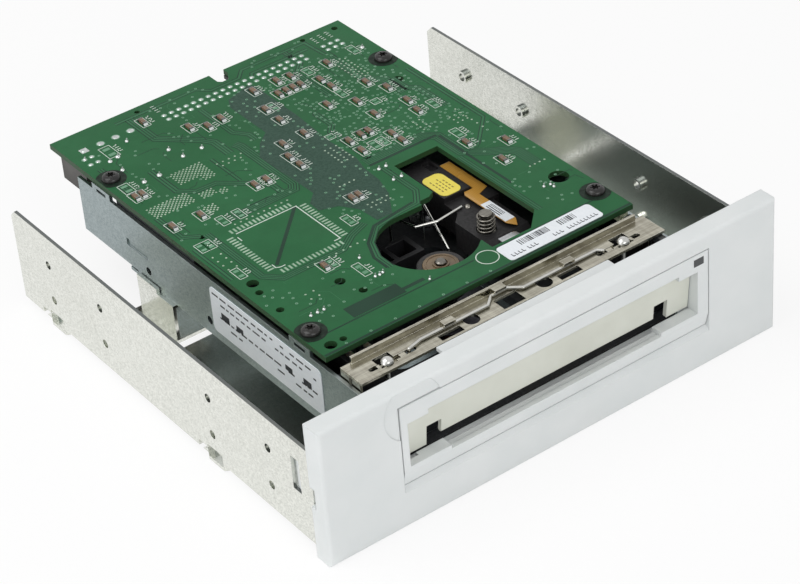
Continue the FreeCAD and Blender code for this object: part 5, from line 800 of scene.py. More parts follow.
class Sketch:
    """A mesh under construction, in millimetres from the datum."""

    def __init__(self, name: str, datum: Datum) -> None:
        """Start an empty mesh.

        Args:
            name: The piece's name.
            datum: Where its millimetres start.
        """
        self.name = name
        self.datum = datum
        self.points: list[Vector] = []
        self.faces: list[tuple[int, ...]] = []
        self.slots: list[int] = []
        self.finishes: list[Finish] = []

    def slot(self, finish: Finish) -> int:
        """Give a finish's slot number, and add the slot the first time.

        Args:
            finish: The finish.

        Returns:
            Its number.
        """
        if finish not in self.finishes:
            self.finishes.append(finish)
        return self.finishes.index(finish)

    def add(self, points: Iterable[Sequence[float]], faces: Iterable[Sequence[int]], finish: Finish) -> None:
        """Add points and the faces between them.

        Args:
            points: Places in millimetres.
            faces: Faces, as places in that list.
            finish: Their finish.
        """
        start, number = len(self.points), self.slot(finish)
        self.points += [self.datum.at(*point) for point in points]
        for face in faces:
            self.faces.append(tuple(start + i for i in face))
            self.slots.append(number)

    def slab(self, outline: Sequence[Point], low: float, high: float, finish: Finish) -> None:
        """Add a flat plate with a drawn outline.

        Args:
            outline: Corners in plan, in order.
            low: Its lower face.
            high: Its upper face.
            finish: Its finish.
        """
        count = len(outline)
        area = sum(a[0] * b[1] - b[0] * a[1] for a, b in zip(outline, [*outline[1:], outline[0]]))
        ring = list(outline) if area > 0 else list(reversed(outline))
        points = [(x, y, low) for x, y in ring] + [(x, y, high) for x, y in ring]
        self.add(points, bands(2, count) + lids(2, count)[::-1], finish)

    def bar(self, x0: float, x1: float, y0: float, y1: float, low: float, high: float, finish: Finish) -> None:
        """Add a rectangular plate."""
        self.slab([(x0, y0), (x1, y0), (x1, y1), (x0, y1)], low, high, finish)

    def disc(self, x: float, y: float, radius: float, low: float, high: float, finish: Finish,
             sides: int = 10, crown: float = 0.0) -> None:
        """Add a round plate, crowned in the middle where asked.

        Args:
            x: Its middle.
            y: Its middle.
            radius: Its radius.
            low: Its lower face.
            high: Its upper edge.
            finish: Its finish.
            sides: Sides of the circle.
            crown: How far the middle stands above the edge.
        """
        levels = [(radius, low), (radius, high)]
        if crown:
            levels += [(radius * 0.78, high + crown * 0.55), (radius * 0.42, high + crown * 0.9)]
        points = [(x + r * c, y + r * s, z) for r, z in levels for c, s in circle(sides)]
        faces = bands(len(levels), sides)
        bottom, top = lids(len(levels), sides)
        if crown:
            points.append((x, y, high + crown))
            faces += [(top[i], top[(i + 1) % sides], top[-1] + 1) for i in range(sides)]
        else:
            faces.append(top)
        self.add(points, [*faces, bottom], finish)

    def ring(self, x: float, y: float, outer: float, inner: float, low: float, high: float, finish: Finish,
             sides: int = 12) -> None:
        """Add a flat ring.

        Args:
            x: Its middle.
            y: Its middle.
            outer: Outer radius.
            inner: Inner radius.
            low: Its lower face.
            high: Its upper face.
            finish: Its finish.
            sides: Sides of the circle.
        """
        loops = [(outer, low), (outer, high), (inner, high), (inner, low)]
        points = [(x + r * c, y + r * s, z) for r, z in loops for c, s in circle(sides)]
        self.add(points, bands(len(loops), sides, closed=True), finish)

    def path(self, points: Sequence[Point], width: float, low: float, high: float, finish: Finish) -> None:
        """Add a flat strip of one width along a line of points.

        Args:
            points: The line's corners in plan.
            width: The strip's width.
            low: Its lower face.
            high: Its upper face.
            finish: Its finish.
        """
        left, right = beside(points, width / 2), beside(points, -width / 2)
        for i in range(len(points) - 1):
            self.slab([right[i], right[i + 1], left[i + 1], left[i]], low, high, finish)

    def tube(self, points: Sequence[Sequence[float]], radius: float, finish: Finish, sides: int = 10) -> None:
        """Add a round wire along a line of points.

        Args:
            points: The line, in millimetres.
            radius: The wire's radius.
            finish: Its finish.
            sides: Sides of its section.
        """
        line = [Vector(point) for point in points]
        normal = (line[1] - line[0]).orthogonal().normalized()
        rings: list[Place] = []
        for i, here in enumerate(line):
            ahead = (line[min(i + 1, len(line) - 1)] - line[max(i - 1, 0)]).normalized()
            normal = (normal - ahead * normal.dot(ahead)).normalized()
            side = ahead.cross(normal)
            rings += [tuple(here + (normal * c + side * s) * radius) for c, s in circle(sides)]
        self.add(rings, bands(len(line), sides) + lids(len(line), sides), finish)

    def lathe(self, x: float, y: float, profile: Sequence[Point], finish: Finish, sides: int = 32) -> None:
        """Add a turned solid about an upright axis."""
        points = [(x + r * c, y + r * s, z) for r, z in profile for c, s in circle(sides)]
        self.add(points, bands(len(profile), sides) + lids(len(profile), sides), finish)

    def finish(self, body: str, slot: str, smooth: float = 40.0, replaces: Sequence[str] = (),
               bend: Bend | None = None) -> None:
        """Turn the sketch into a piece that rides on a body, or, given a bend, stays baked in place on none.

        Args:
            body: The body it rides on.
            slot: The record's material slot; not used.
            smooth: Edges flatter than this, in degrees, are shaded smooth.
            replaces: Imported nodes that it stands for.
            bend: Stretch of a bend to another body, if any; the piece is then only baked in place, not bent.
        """
        mesh = bpy.data.meshes.new(self.name)
        mesh.from_pydata(self.points, [], self.faces)
        for finish in self.finishes:
            mesh.materials.append(finish.build())
        mesh.polygons.foreach_set("material_index", self.slots)
        shape = bmesh.new()
        shape.from_mesh(mesh)
        bmesh.ops.recalc_face_normals(shape, faces=shape.faces[:])
        limit = math.radians(smooth)
        for face in shape.faces:
            face.smooth = True
        for edge in shape.edges:
            edge.smooth = len(edge.link_faces) == 2 and edge.calc_face_angle(0.0) < limit
        shape.to_mesh(mesh)
        shape.free()
        piece = bpy.data.objects.new(self.name, mesh)
        bpy.context.scene.collection.objects.link(piece)
        if bend:
            bend.apply(piece, body)
        else:
            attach(piece, body)
        if replaces:
            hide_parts(*replaces)
        LOG.info("piece %s on %s: %d faces", self.name, body, len(mesh.polygons))


def beside(points: Sequence[Point], offset: float) -> list[Point]:
    """Shift a line of points sideways, with its corners mitred.

    Args:
        points: The line's corners.
        offset: How far to the left of its direction.

    Returns:
        The shifted corners.
    """
    line = [Vector((*point, 0.0)) for point in points]
    runs = [(b - a).normalized() for a, b in zip(line, line[1:])]
    shifted: list[Point] = []
    for i, here in enumerate(line):
        before, after = runs[max(i - 1, 0)], runs[min(i, len(runs) - 1)]
        across = Vector((-(before.y + after.y), before.x + after.x, 0.0)).normalized()
        stretch = max(0.4, across.dot(Vector((-before.y, before.x, 0.0))))
        place = here + across * (offset / stretch)
        shifted.append((place.x, place.y))
    return shifted


def rounded(x0: float, x1: float, y0: float, y1: float, radius: float, steps: int = 5) -> list[Point]:
    """Give the outline of a rectangle with round corners.

    Args:
        x0: Left side.
        x1: Right side.
        y0: Front side.
        y1: Rear side.
        radius: Corner radius.
        steps: Points of each corner.

    Returns:
        The outline's points.
    """
    outline: list[Point] = []
    for cx, cy, start in ((x1 - radius, y0 + radius, 270), (x1 - radius, y1 - radius, 0),
                          (x0 + radius, y1 - radius, 90), (x0 + radius, y0 + radius, 180)):
        for k in range(steps):
            angle = math.radians(start + 90 * k / (steps - 1))
            outline.append((cx + radius * math.cos(angle), cy + radius * math.sin(angle)))
    return outline


# ---------------------------------------------------------------- the board
# Outline of the wide copper area under the mask, x and y in millimetres.
COPPER_BAND: tuple[Point, ...] = (
    (-1.5, 146), (0.5, 149.5), (9.5, 152.5), (10.5, 150), (10.2, 128), (9, 112), (9.5, 99), (8, 93.5),
    (7.6, 86), (5.6, 79), (0.5, 70.5), (-4.5, 70.5), (-5, 78), (-8.2, 83), (-13.5, 85), (-13.2, 89.5),
    (-9.6, 93), (-10.2, 118), (-6, 124), (-1.6, 127.5),
)
# Bundles of tracks: how many, their pitch, the gap beside each, and the middle line.
TRACK_BUNDLES: tuple[tuple[int, float, float, list[Point]], ...] = (
    (4, 0.85, 0.3, [(-26.6, 160.4), (-26.6, 146.5), (-17, 136.5), (-15.2, 133.5), (-15.2, 125.5)]),
    (5, 0.72, 0.3, [(-11.6, 128.6), (-10.9, 126.5), (-10.9, 100.5), (-12.4, 98.2), (-34, 98.2)]),
    (3, 0.9, 0.32, [(-36.8, 133), (-36.8, 119.6), (-33, 115.8), (-26.5, 115.4), (-19.8, 109), (-15.6, 103.8),
        (-15.6, 99.6)]),
    (2, 1, 0.3, [(-31, 160.8), (-3.4, 160.8), (-0.4, 157.4), (9.4, 157.4), (12.6, 160.8), (35.2, 160.8),
        (35.8, 151)]),
    (2, 1, 0.3, [(13, 155.9), (13.8, 157.2), (33.6, 157.2)]),
    (6, 0.68, 0.28, [(9.6, 95.6), (30.2, 95.6), (32.8, 92.8), (32.8, 81.6), (38.6, 76.4), (42.6, 74),
        (44.4, 71.4), (44.4, 63)]),
    (3, 0.8, 0.3, [(-14.6, 50.5), (-14.6, 56.5), (-12, 63), (-6.4, 68.4), (1.6, 69.6), (8.4, 70), (11.8, 75),
        (11.8, 90.6)]),
    (4, 0.7, 0.28, [(-42.4, 96.4), (-42.4, 70), (-38.4, 65.6), (-19.4, 65.6), (-14, 69.4), (-8, 71.8)]),
    (1, 1, 1.05, [(-36.6, 71.6), (-17.2, 91)]),
    (4, 0.72, 0.28, [(42, 126.5), (42, 119.6), (44.6, 117), (44.6, 104)]),
    (2, 0.9, 0.3, [(48.6, 128), (48.6, 92), (38.5, 81.5)]),
    (3, 0.8, 0.3, [(-48.2, 112), (-48.2, 99.5), (-44, 96.6)]),
    (1, 1, 0.5, [(-50.2, 38.3), (2.9, 38.3)]),
    (1, 1, 0.5, [(10.6, 38.7), (50.2, 38.7)]),
    (3, 0.75, 0.3, [(27.6, 160.2), (27.6, 152), (23.4, 147.8), (23.4, 130.5)]),
    (5, 0.72, 0.26, [(36, 149), (36, 132), (40.4, 127.4), (40.4, 118)]),
    (3, 0.8, 0.3, [(14.5, 126), (14.5, 118), (12, 115), (12, 96.5)]),
    (3, 0.8, 0.3, [(-46.8, 143.5), (-46.8, 127.4)]),
    (2, 0.9, 0.3, [(-20.8, 126.6), (-20.8, 112)]),
    (3, 0.75, 0.28, [(30.8, 45), (30.8, 80)]),
    (3, 0.8, 0.3, [(-8.5, 150.4), (-8.5, 134), (-5.6, 130), (-5.6, 126.4)]),
    (2, 0.9, 0.28, [(-49, 92.5), (-49, 74)]),
)
# Areas of short loose tracks: left, right, front, rear and how many.
LOOSE_TRACKS: tuple[tuple[float, ...], ...] = (
    (11, 48, 97, 159, 46), (-49, -12, 130, 160, 8), (-48, -12, 97, 128, 8), (-48.5, -16, 44, 64, 8),
    (32, 49, 42, 92, 9), (-8, 8, 72, 150, 10),
)
# Areas that take no loose via: left, right, front and rear.
KEEP_OUT: tuple[tuple[float, ...], ...] = (
    (-15.5, 30.5, 39, 72), (11.5, 31.5, 66, 92), (8.8, 43, 30, 39.6), (-41.5, -12.5, 66, 94.6),
    (1.6, 8.6, 156.6, 165), (2.6, 10.4, 33.4, 41),
)
# Fields of staggered bare vias: left, right, front, rear and pitch.
STAGGERED_VIAS: tuple[tuple[float, ...], ...] = (
    (-48, -35.4, 112, 117.2, 1.3), (-34, -24.2, 119, 128, 1.3), (-33, -29, 111.5, 114.5, 1.3),
    (-28, -25.6, 110, 112.6, 1.3), (-36.2, -32.4, 104.2, 107.6, 1.3),
)
# Corner that those fields leave free: left, right, front and rear.
CUT_CORNER: tuple[float, ...] = (-34, -27.5, 119, 121.6)
# Square grids of bare vias: first x and y, columns, rows, and both pitches.
VIA_GRIDS: tuple[tuple[float, ...], ...] = (
    (-21, 123.3, 5, 1, 2, 1), (-20.2, 121.5, 4, 1, 2, 1), (5.2, 100.2, 3, 6, 1.9, 1.6),
    (-2, 76.6, 5, 2, 1.6, 1.7), (41.4, 94.4, 3, 3, 1.7, 1.9), (32.2, 98, 2, 4, 2.1, 1.7),
    (45.2, 88, 1, 6, 1, 2.5), (-38.6, 53, 2, 2, 2.5, 2.6), (42, 63.1, 4, 1, 1.7, 1),
    (-31, 65.3, 9, 1, 2.3, 1), (-34, 95, 10, 1, 1.9, 1), (-47.2, 78.5, 2, 4, 2.6, 2.5),
    (34.8, 133, 2, 9, 2.6, 1.6), (36.2, 133.8, 2, 8, 2.6, 1.6), (-2.4, 90.6, 4, 1, 1.6, 1),
)
# Areas of loose vias: left, right, front, rear and how many.
LOOSE_VIAS: tuple[tuple[float, ...], ...] = (
    (11, 46.5, 96.5, 151, 330), (-49, -12, 96.5, 151, 62), (-9, 10, 84, 151, 74), (-49, -16, 43, 65, 26),
    (32.5, 49, 41, 95, 34), (-26, 45, 158, 163, 18), (-13, 10, 72.5, 84, 20),
)
# Hand-soldered joints with a cut lead: x, y and radius.
SOLDER_BLOBS: tuple[tuple[float, ...], ...] = (
    (-42.5, 145, 0.75), (-39.6, 145.6, 0.8), (-42.3, 138.8, 0.7), (-27, 138.8, 0.7), (-25.8, 133.2, 0.7),
    (-19.5, 133.2, 0.7), (-41, 129.5, 0.8), (-36, 129.6, 0.85), (-20.5, 49.8, 0.5), (-19.2, 49.6, 0.5),
    (-18, 49.9, 0.5), (-43, 47, 0.55), (-40.9, 47, 0.55), (-38.9, 47, 0.55), (10.6, 90.2, 0.6),
    (13, 90.2, 0.6), (10.4, 83.2, 0.55), (13.1, 83.2, 0.6), (46.2, 146.6, 0.75), (38.3, 52.6, 0.5),
    (40.3, 52.2, 0.5), (40.3, 50.8, 0.5), (-33.4, 150.8, 0.6), (-47.4, 150.6, 0.6), (-18.6, 59.4, 0.5),
    (-10.8, 39.2, 0.45),
)
# Printed frames with no part in them: middle and half sizes.
EMPTY_FRAMES: tuple[tuple[float, ...], ...] = (
    (-40, 149.5, 1.75, 3.25), (26.5, 146.5, 1.2, 2.2), (43.5, 147.5, 1.2, 2.6), (26.5, 130, 1.2, 2.4),
    (7.8, 137.5, 1.1, 2.3), (31.2, 119.5, 1.4, 1.4), (10.5, 113, 1.3, 1.3), (42.5, 107.2, 1.2, 2.4),
    (17.2, 101, 1.2, 2.4), (20.1, 101, 1.2, 2.4), (-35.5, 98.7, 1.2, 2.4), (-30.3, 98.5, 1.2, 2.4),
    (-46.9, 91.7, 1.2, 2.3), (-44.5, 91.7, 1.2, 2.3), (37.9, 90.1, 1.3, 2.6), (-10.2, 75.6, 1.2, 2.7),
    (-46.2, 75.2, 1.2, 2.6), (-25.2, 62.5, 1.1, 2.3), (-21.2, 54.8, 1.2, 3.2), (-46.5, 130, 1.6, 2.6),
)


@dataclass
class BoardDressing:
    """Copper, vias, solder, print, small parts and screws of the circuit board.

    Attributes:
        frame: The loaded frame.
        datum: Where millimetres start.
        copper: Height of copper under the mask, in millimetres.
        print_height: Height of the print.
        via_radius: Outer radius of a via.
        line: Width of a printed line.
        chip_margin: Print line beyond a chip at its sides and at its ends.
        lead_pitch: Pitch of the bare flat-pack footprint.
        stain: Radius of the oily ring round each screw.
        via_grid: Grid that the scattered vias lie on.
        via_gap: Least distance between two of them.
        chip_share: Width of a small part's body, as a share of its solid's.
        head_share: Radius of a screw's head, as a share of its solid's.
        random_seed: Seed of the scattered vias and short tracks.
        top: Height of the board's upper face.
        small_parts: Middle and half sizes of each small part.
    """

    frame: dict
    datum: Datum
    copper: float = 0.02
    print_height: float = 0.03
    via_radius: float = 0.42
    line: float = 0.2
    chip_margin: Point = (0.55, 1.0)
    lead_pitch: float = 1.27
    stain: float = 4.4
    via_grid: float = 0.635
    via_gap: float = 1.15
    chip_share: float = 0.86
    head_share: float = 0.84
    random_seed: int = 11
    top: float = field(init=False)
    small_parts: list[tuple[float, float, float, float]] = field(init=False, default_factory=list)

    def __post_init__(self) -> None:
        """Read the board's upper face and its small parts from the frame."""
        self.top = self.datum.of(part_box("circuit_board")[1])[2]
        for low, high in solids_of(self.frame["nodes"]["surface_capacitors"]):
            (x0, y0, _), (x1, y1, _) = self.datum.span(low, high)
            self.small_parts.append(((x0 + x1) / 2, (y0 + y1) / 2, (x1 - x0) / 2, (y1 - y0) / 2))

    def build(self) -> None:
        """Build every piece on the board."""
        self.copper_areas()
        self.tracks()
        self.vias()
        self.solder_joints()
        self.footprint()
        self.chips()
        self.print_marks()
        self.screws()

    def sketch(self, name: str) -> Sketch:
        """Start a piece on the board."""
        return Sketch(name, self.datum)

    def copper_areas(self) -> None:
        """Wide areas where the copper under the mask gives another green."""
        areas = self.sketch("board_copper_areas")
        top = self.top
        areas.slab(COPPER_BAND, top, top + self.copper, Finishes.COPPER_BAND)
        areas.slab([(-35.2, 38.9), (-18.4, 38.9), (-18.4, 39.9), (-11.6, 39.9), (-11.6, 41.2), (-18.4, 41.2),
                    (-18.4, 43.9), (-35.2, 43.9)], top, top + self.copper * 0.6, Finishes.COPPER_GAP)
        areas.bar(-50.2, 50.2, 30.3, 31.2, top, top + self.copper * 0.5, Finishes.COPPER_GAP)
        for line in ([(-15.6, 51.0), (-15.6, 57.0), (-12.8, 63.4), (-6.8, 69.0), (1.6, 70.2), (7.6, 70.9)],
                     [(9.8, 93.4), (32.9, 93.4)], [(33.2, 92.6), (33.2, 60.0)]):
            areas.path(line, 0.9, top, top + self.copper * 0.7, Finishes.COPPER_GAP)
        areas.finish("housing", "board_laminate")

    def tracks(self) -> None:
        """Bundles of tracks, as the darker gaps beside them and the paler lines between."""
        tracks = self.sketch("board_tracks")
        for count, pitch, width, line in TRACK_BUNDLES:
            for k in range(count):
                shift = (k - (count - 1) / 2) * pitch
                tracks.path(beside(line, shift), width, self.top, self.top + self.copper * 0.8, Finishes.COPPER_GAP)
                if count > 1 and k:
                    tracks.path(beside(line, shift - pitch / 2), pitch - width, self.top, self.top + self.copper * 0.5,
                                Finishes.COPPER_LINE)
        rng = random.Random(self.random_seed)
        for x0, x1, y0, y1, count in LOOSE_TRACKS:
            for _ in range(count):
                x, y = rng.uniform(x0, x1), rng.uniform(y0, y1)
                run, step = rng.uniform(2.0, 8.0), rng.uniform(1.0, 3.0) * rng.choice((-1, 1))
                along = rng.random() < 0.6
                line = [(x, y), (x, y + run), (x + step, y + run + abs(step))] if along else \
                    [(x, y), (x + run, y), (x + run + abs(step), y + step)]
                line = [(min(max(px, x0), x1), min(max(py, y0), y1)) for px, py in line]
                if math.dist(line[0], line[1]) > 0.6 and math.dist(line[1], line[2]) > 0.4:
                    tracks.path(line, 0.2, self.top, self.top + self.copper * rng.choice((0.55, 0.7)),
                                rng.choice((Finishes.COPPER_GAP, Finishes.COPPER_LINE)))
        tracks.finish("housing", "board_laminate")

    def clear_of_parts(self, x: float, y: float) -> bool:
        """Say whether a place on the board is free of openings, chips, screws and labels.

        Args:
            x: The place.
            y: The place.

        Returns:
            True where a via can go.
        """
        if any(x0 < x < x1 and y0 < y < y1 for x0, x1, y0, y1 in KEEP_OUT):
            return False
        if any(math.dist((x, y), (sx, sy)) < 4.8 for sx in (-47.0, 47.0) for sy in (41.5, 137.3)):
            return False
        return all(abs(x - cx) > 1.9 or abs(y - cy) > 3.0 for cx, cy, _, _ in self.small_parts)

    def vias(self) -> None:
        """Tented vias in their grids and scattered over the busy side."""
        vias = self.sketch("board_vias")
        bare: list[Point] = []
        left, right, front, rear = CUT_CORNER
        places: list[Point] = [(-43.0 + 7.7 * k, 31.6) for k in range(12) if not 9 < -43.0 + 7.7 * k < 42]
        for x0, x1, y0, y1, pitch in STAGGERED_VIAS:
            for row in range(int((y1 - y0) / pitch * 2) + 1):
                shift, y = (row % 2) * pitch / 2, y0 + row * pitch / 2
                line = [x0 + shift + k * pitch for k in range(int((x1 - x0 - shift) / pitch) + 1)]
                bare += [(x, y) for x in line if not (left <= x < right and front <= y < rear)]
        for x0, y0, columns, rows, dx, dy in VIA_GRIDS:
            bare += [(x0 + i * dx, y0 + j * dy) for i in range(columns) for j in range(rows)]
        rng = random.Random(self.random_seed + 1)
        for x0, x1, y0, y1, count in LOOSE_VIAS:
            tries = 0
            placed: list[Point] = []
            while len(placed) < count and tries < count * 12:
                tries += 1
                spot = (round(rng.uniform(x0, x1) / self.via_grid) * self.via_grid,
                        round(rng.uniform(y0, y1) / self.via_grid) * self.via_grid)
                if self.clear_of_parts(*spot) and all(math.dist(spot, other) > self.via_gap for other in placed):
                    placed.append(spot)
            places += placed
        for x, y in places:
            vias.ring(x, y, self.via_radius, self.via_radius * 0.42, self.top, self.top + 0.03, Finishes.VIA, 8)
            # The dark disc paints the shade inside the via's hole.
            vias.disc(x, y, self.via_radius * 0.42, self.top, self.top + 0.012, Finishes.HOLE, 6)
        for x, y in bare:
            vias.disc(x, y, self.via_radius * 0.72, self.top, self.top + 0.02, Finishes.BARE_VIA, 8, crown=0.04)
        vias.finish("housing", "board_laminate")

    def solder_joints(self) -> None:
        """Solder over each plated hole and on the loose pads."""
        solder = self.sketch("board_solder")
        top = self.top
        joints = [(x, 155.0, 1.05) for x in (-39.5, -34.5, -29.5)]
        joints += [(-18.0 + 2.54 * k, y, 0.62) for k in range(20) for y in (155.2, 152.6)]
        joints += [(x, y, 0.62) for x in (38.2, 40.8, 43.3) for y in (155.2, 152.6)]
        joints += [(-47.4, 150.8, 0.6), (-45.0, 150.8, 0.6), (-47.4, 147.4, 0.6), (-45.0, 147.4, 0.6)]
        for x, y, radius in joints:
            solder.ring(x, y, radius + 0.28, radius, top, top + 0.03, Finishes.VIA, 14)
            solder.disc(x, y, radius, top, top + 0.05, Finishes.SOLDER, 12, crown=0.22)
        solder.bar(-46.2, -43.8, 153.8, 156.2, top, top + 0.05, Finishes.SOLDER)
        solder.disc(-45.0, 155.0, 0.9, top + 0.05, top + 0.1, Finishes.SOLDER, 12, crown=0.25)
        for x, y, radius in SOLDER_BLOBS:
            solder.disc(x, y, radius, top, top + 0.08, Finishes.SOLDER, 12, crown=0.5)
            solder.tube([(x, y, top + 0.3), (x + 0.2, y + 0.1, top + 1.0)], 0.22, Finishes.SOLDER, 6)
        solder.finish("housing", "screw_steel")

    def footprint(self) -> None:
        """Bare pads and printed corner of the flat-pack that isn't fitted."""
        pads = self.sketch("flat_pack_footprint")
        top = self.top
        columns = int(20.0 / self.lead_pitch)
        outer, inner, rim = 0.36, 0.22, 0.2
        low, middle, upper = top, top + 0.05, top + 0.08
        for k in range(columns + 1):
            x, y = -36.9 + k * self.lead_pitch, 71.0 + k * self.lead_pitch
            for y0, y1 in ((67.4, 69.4), (91.6, 93.6)):
                pads.bar(x - outer, x + outer, y0, y1, low, middle, Finishes.VIA)
                pads.bar(x - inner, x + inner, y0 + rim, y1 - rim, middle, upper, Finishes.BARE_VIA)
            for x0, x1 in ((-40.0, -37.8), (-16.2, -14.0)):
                pads.bar(x0, x1, y - outer, y + outer, low, middle, Finishes.VIA)
                pads.bar(x0 + rim, x1 - rim, y - inner, y + inner, middle, upper, Finishes.BARE_VIA)
        high = top + self.print_height
        pads.path([(-36.4, 91.0), (-16.8, 91.0), (-16.8, 70.4), (-18.8, 70.4)], 0.34, top, high, Finishes.PRINT)
        pads.path([(-37.0, 89.4), (-37.0, 87.2)], 0.3, top, high, Finishes.PRINT)
        pads.path([(-37.4, 72.6), (-37.4, 70.8), (-36.2, 70.2), (-34.8, 70.2)], 0.3, top, high, Finishes.PRINT)
        pads.finish("housing", "screw_steel")

    def chips(self) -> None:
        """Small capacitors and resistors: ceramic middles, tinned ends in a darker metal that paints their shade, and
        solder at both.
        """
        chips = self.sketch("chip_parts")
        low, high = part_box("surface_capacitors")
        base, tall = self.top, (high.z - low.z) / MM
        for x, y, half_width, half_y in self.small_parts:
            half_x, cap = half_width * self.chip_share, half_y * 0.34
            chips.slab(rounded(x - half_x * 0.94, x + half_x * 0.94, y - half_y + cap, y + half_y - cap, 0.05, 3),
                       base + 0.06, base + tall * 0.96, Finishes.CERAMIC)
            for side in (-1, 1):
                inner, outer = y + side * (half_y - cap), y + side * half_y
                y0, y1 = min(inner, outer), max(inner, outer)
                # The tinned caps take the darker metal that paints their shade.
                chips.slab(rounded(x - half_x, x + half_x, y0, y1, 0.12, 3), base + 0.03, base + tall,
                           Finishes.TIN)
                toe = outer + side * 0.55
                foot = [(x - half_x, outer, base + tall * 0.7), (x + half_x, outer, base + tall * 0.7),
                        (x + half_x, outer + side * 0.22, base + 0.24), (x - half_x, outer + side * 0.22, base + 0.24),
                        (x + half_x, toe, base + 0.03), (x - half_x, toe, base + 0.03),
                        (x + half_x, outer, base), (x - half_x, outer, base)]
                chips.add(foot, [(0, 1, 2, 3), (3, 2, 4, 5), (5, 4, 6, 7), (7, 6, 1, 0), (0, 3, 5, 7), (1, 6, 4, 2)],
                          Finishes.SOLDER)
        chips.finish("housing", "chip_ceramic", smooth=35.0, replaces=("surface_capacitors",))

    def print_marks(self) -> None:
        """Print: a frame round each small part, empty frames, marks beside them and a bare ring."""
        marks = self.sketch("board_print")
        top, high = self.top, self.top + self.print_height
        rng = random.Random(self.random_seed + 2)
        side, end = self.chip_margin
        for x, y, half_x, half_y in self.small_parts:
            self.printed_frame(marks, rng, x, y, half_x + side, half_y + end)
        for x, y, half_x, half_y in EMPTY_FRAMES:
            self.printed_frame(marks, rng, x, y, half_x, half_y)
            for way in (-1, 1):
                marks.slab(rounded(x - half_x * 0.62, x + half_x * 0.62, y + way * half_y * 0.5 - half_y * 0.2,
                                   y + way * half_y * 0.5 + half_y * 0.2, 0.15, 3), top, top + 0.05, Finishes.VIA)
        marks.ring(6.5, 37.0, 3.2, 2.92, top, high, Finishes.PRINT, 40)
        for x in (38.2, 40.8, 43.3):
            for k in range(4):
                marks.bar(x - 0.5, x + 0.5, 158.0 + k * 1.1, 158.24 + k * 1.1, top, high, Finishes.PRINT)
        for k in range(4):
            marks.bar(-18.6, -17.4, 158.0 + k * 1.2, 158.24 + k * 1.2, top, high, Finishes.PRINT)
        marks.finish("housing", "label_paper")

    def printed_frame(self, marks: Sketch, rng: random.Random, x: float, y: float, half_x: float,
                      half_y: float) -> None:
        """Print one rectangle and a short row of plain dashes beside it.

        Args:
            marks: The print's sketch.
            rng: Decides the dashes.
            x: Its middle.
            y: Its middle.
            half_x: Half its width.
            half_y: Half its depth.
        """
        top, high = self.top, self.top + self.print_height
        corners = [(x - half_x, y - half_y), (x + half_x, y - half_y), (x + half_x, y + half_y),
                   (x - half_x, y + half_y)]
        for a, b in zip(corners, [*corners[1:], corners[0]]):
            marks.path([a, b], self.line, top, high, Finishes.PRINT)
        if not self.clear_of_openings(x + half_x + 2.0, y):
            return
        for k in range(rng.choice((3, 3, 4))):
            start = y - 1.6 + k * 1.05
            marks.bar(x + half_x + 0.5, x + half_x + 1.8, start, start + 0.27, top, high, Finishes.PRINT)
            if rng.random() < 0.7:
                edge = x + half_x + rng.choice((0.5, 1.53))
                marks.bar(edge, edge + 0.27, start, start + 0.75, top, high, Finishes.PRINT)

    @staticmethod
    def clear_of_openings(x: float, y: float) -> bool:
        """Say whether marks at a place would stay on the board and off its window."""
        return x < 49.0 and not (-16.0 < x < 31.0 and 38.0 < y < 94.0 and not (x < 10.0 and y > 74.0))

    def screws(self) -> None:
        """Black pan-head screws with a six-lobed recess, on rings of oily board."""
        screws = self.sketch("board_screw_heads")
        rings = self.sketch("board_screw_rings")
        edge = self.datum.of(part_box("circuit_board")[1])[0] - 0.1
        for low, high in solids_of(self.frame["nodes"]["board_screws"]):
            (x0, y0, z0), (x1, y1, z1) = self.datum.span(low, high)
            x, y, radius = (x0 + x1) / 2, (y0 + y1) / 2, (x1 - x0) / 2 * self.head_share
            top, crown = self.top, z1
            screws.lathe(x, y, [(0.9, z0), (1.25, z0 + 0.4), (1.25, top), (radius, top), (radius, top + 0.5),
                                (radius * 0.9, crown - 0.45), (radius * 0.72, crown - 0.12), (radius * 0.5, crown),
                                (radius * 0.46, crown - 0.7), (0.2, crown - 0.8)], Finishes.BLACK_SCREW)
            for c, s in circle(6):
                screws.disc(x + c * radius * 0.46, y + s * radius * 0.46, radius * 0.16, crown - 0.7, crown - 0.06,
                            Finishes.BLACK_SCREW, 8)
            stain = [(max(-edge, min(edge, x + self.stain * c)), y + self.stain * s) for c, s in circle(40)]
            rings.slab(stain, top, top + 0.035, Finishes.OILED)
        screws.finish("housing", "screw_steel", replaces=("board_screws",))
        rings.finish("housing", "board_laminate")


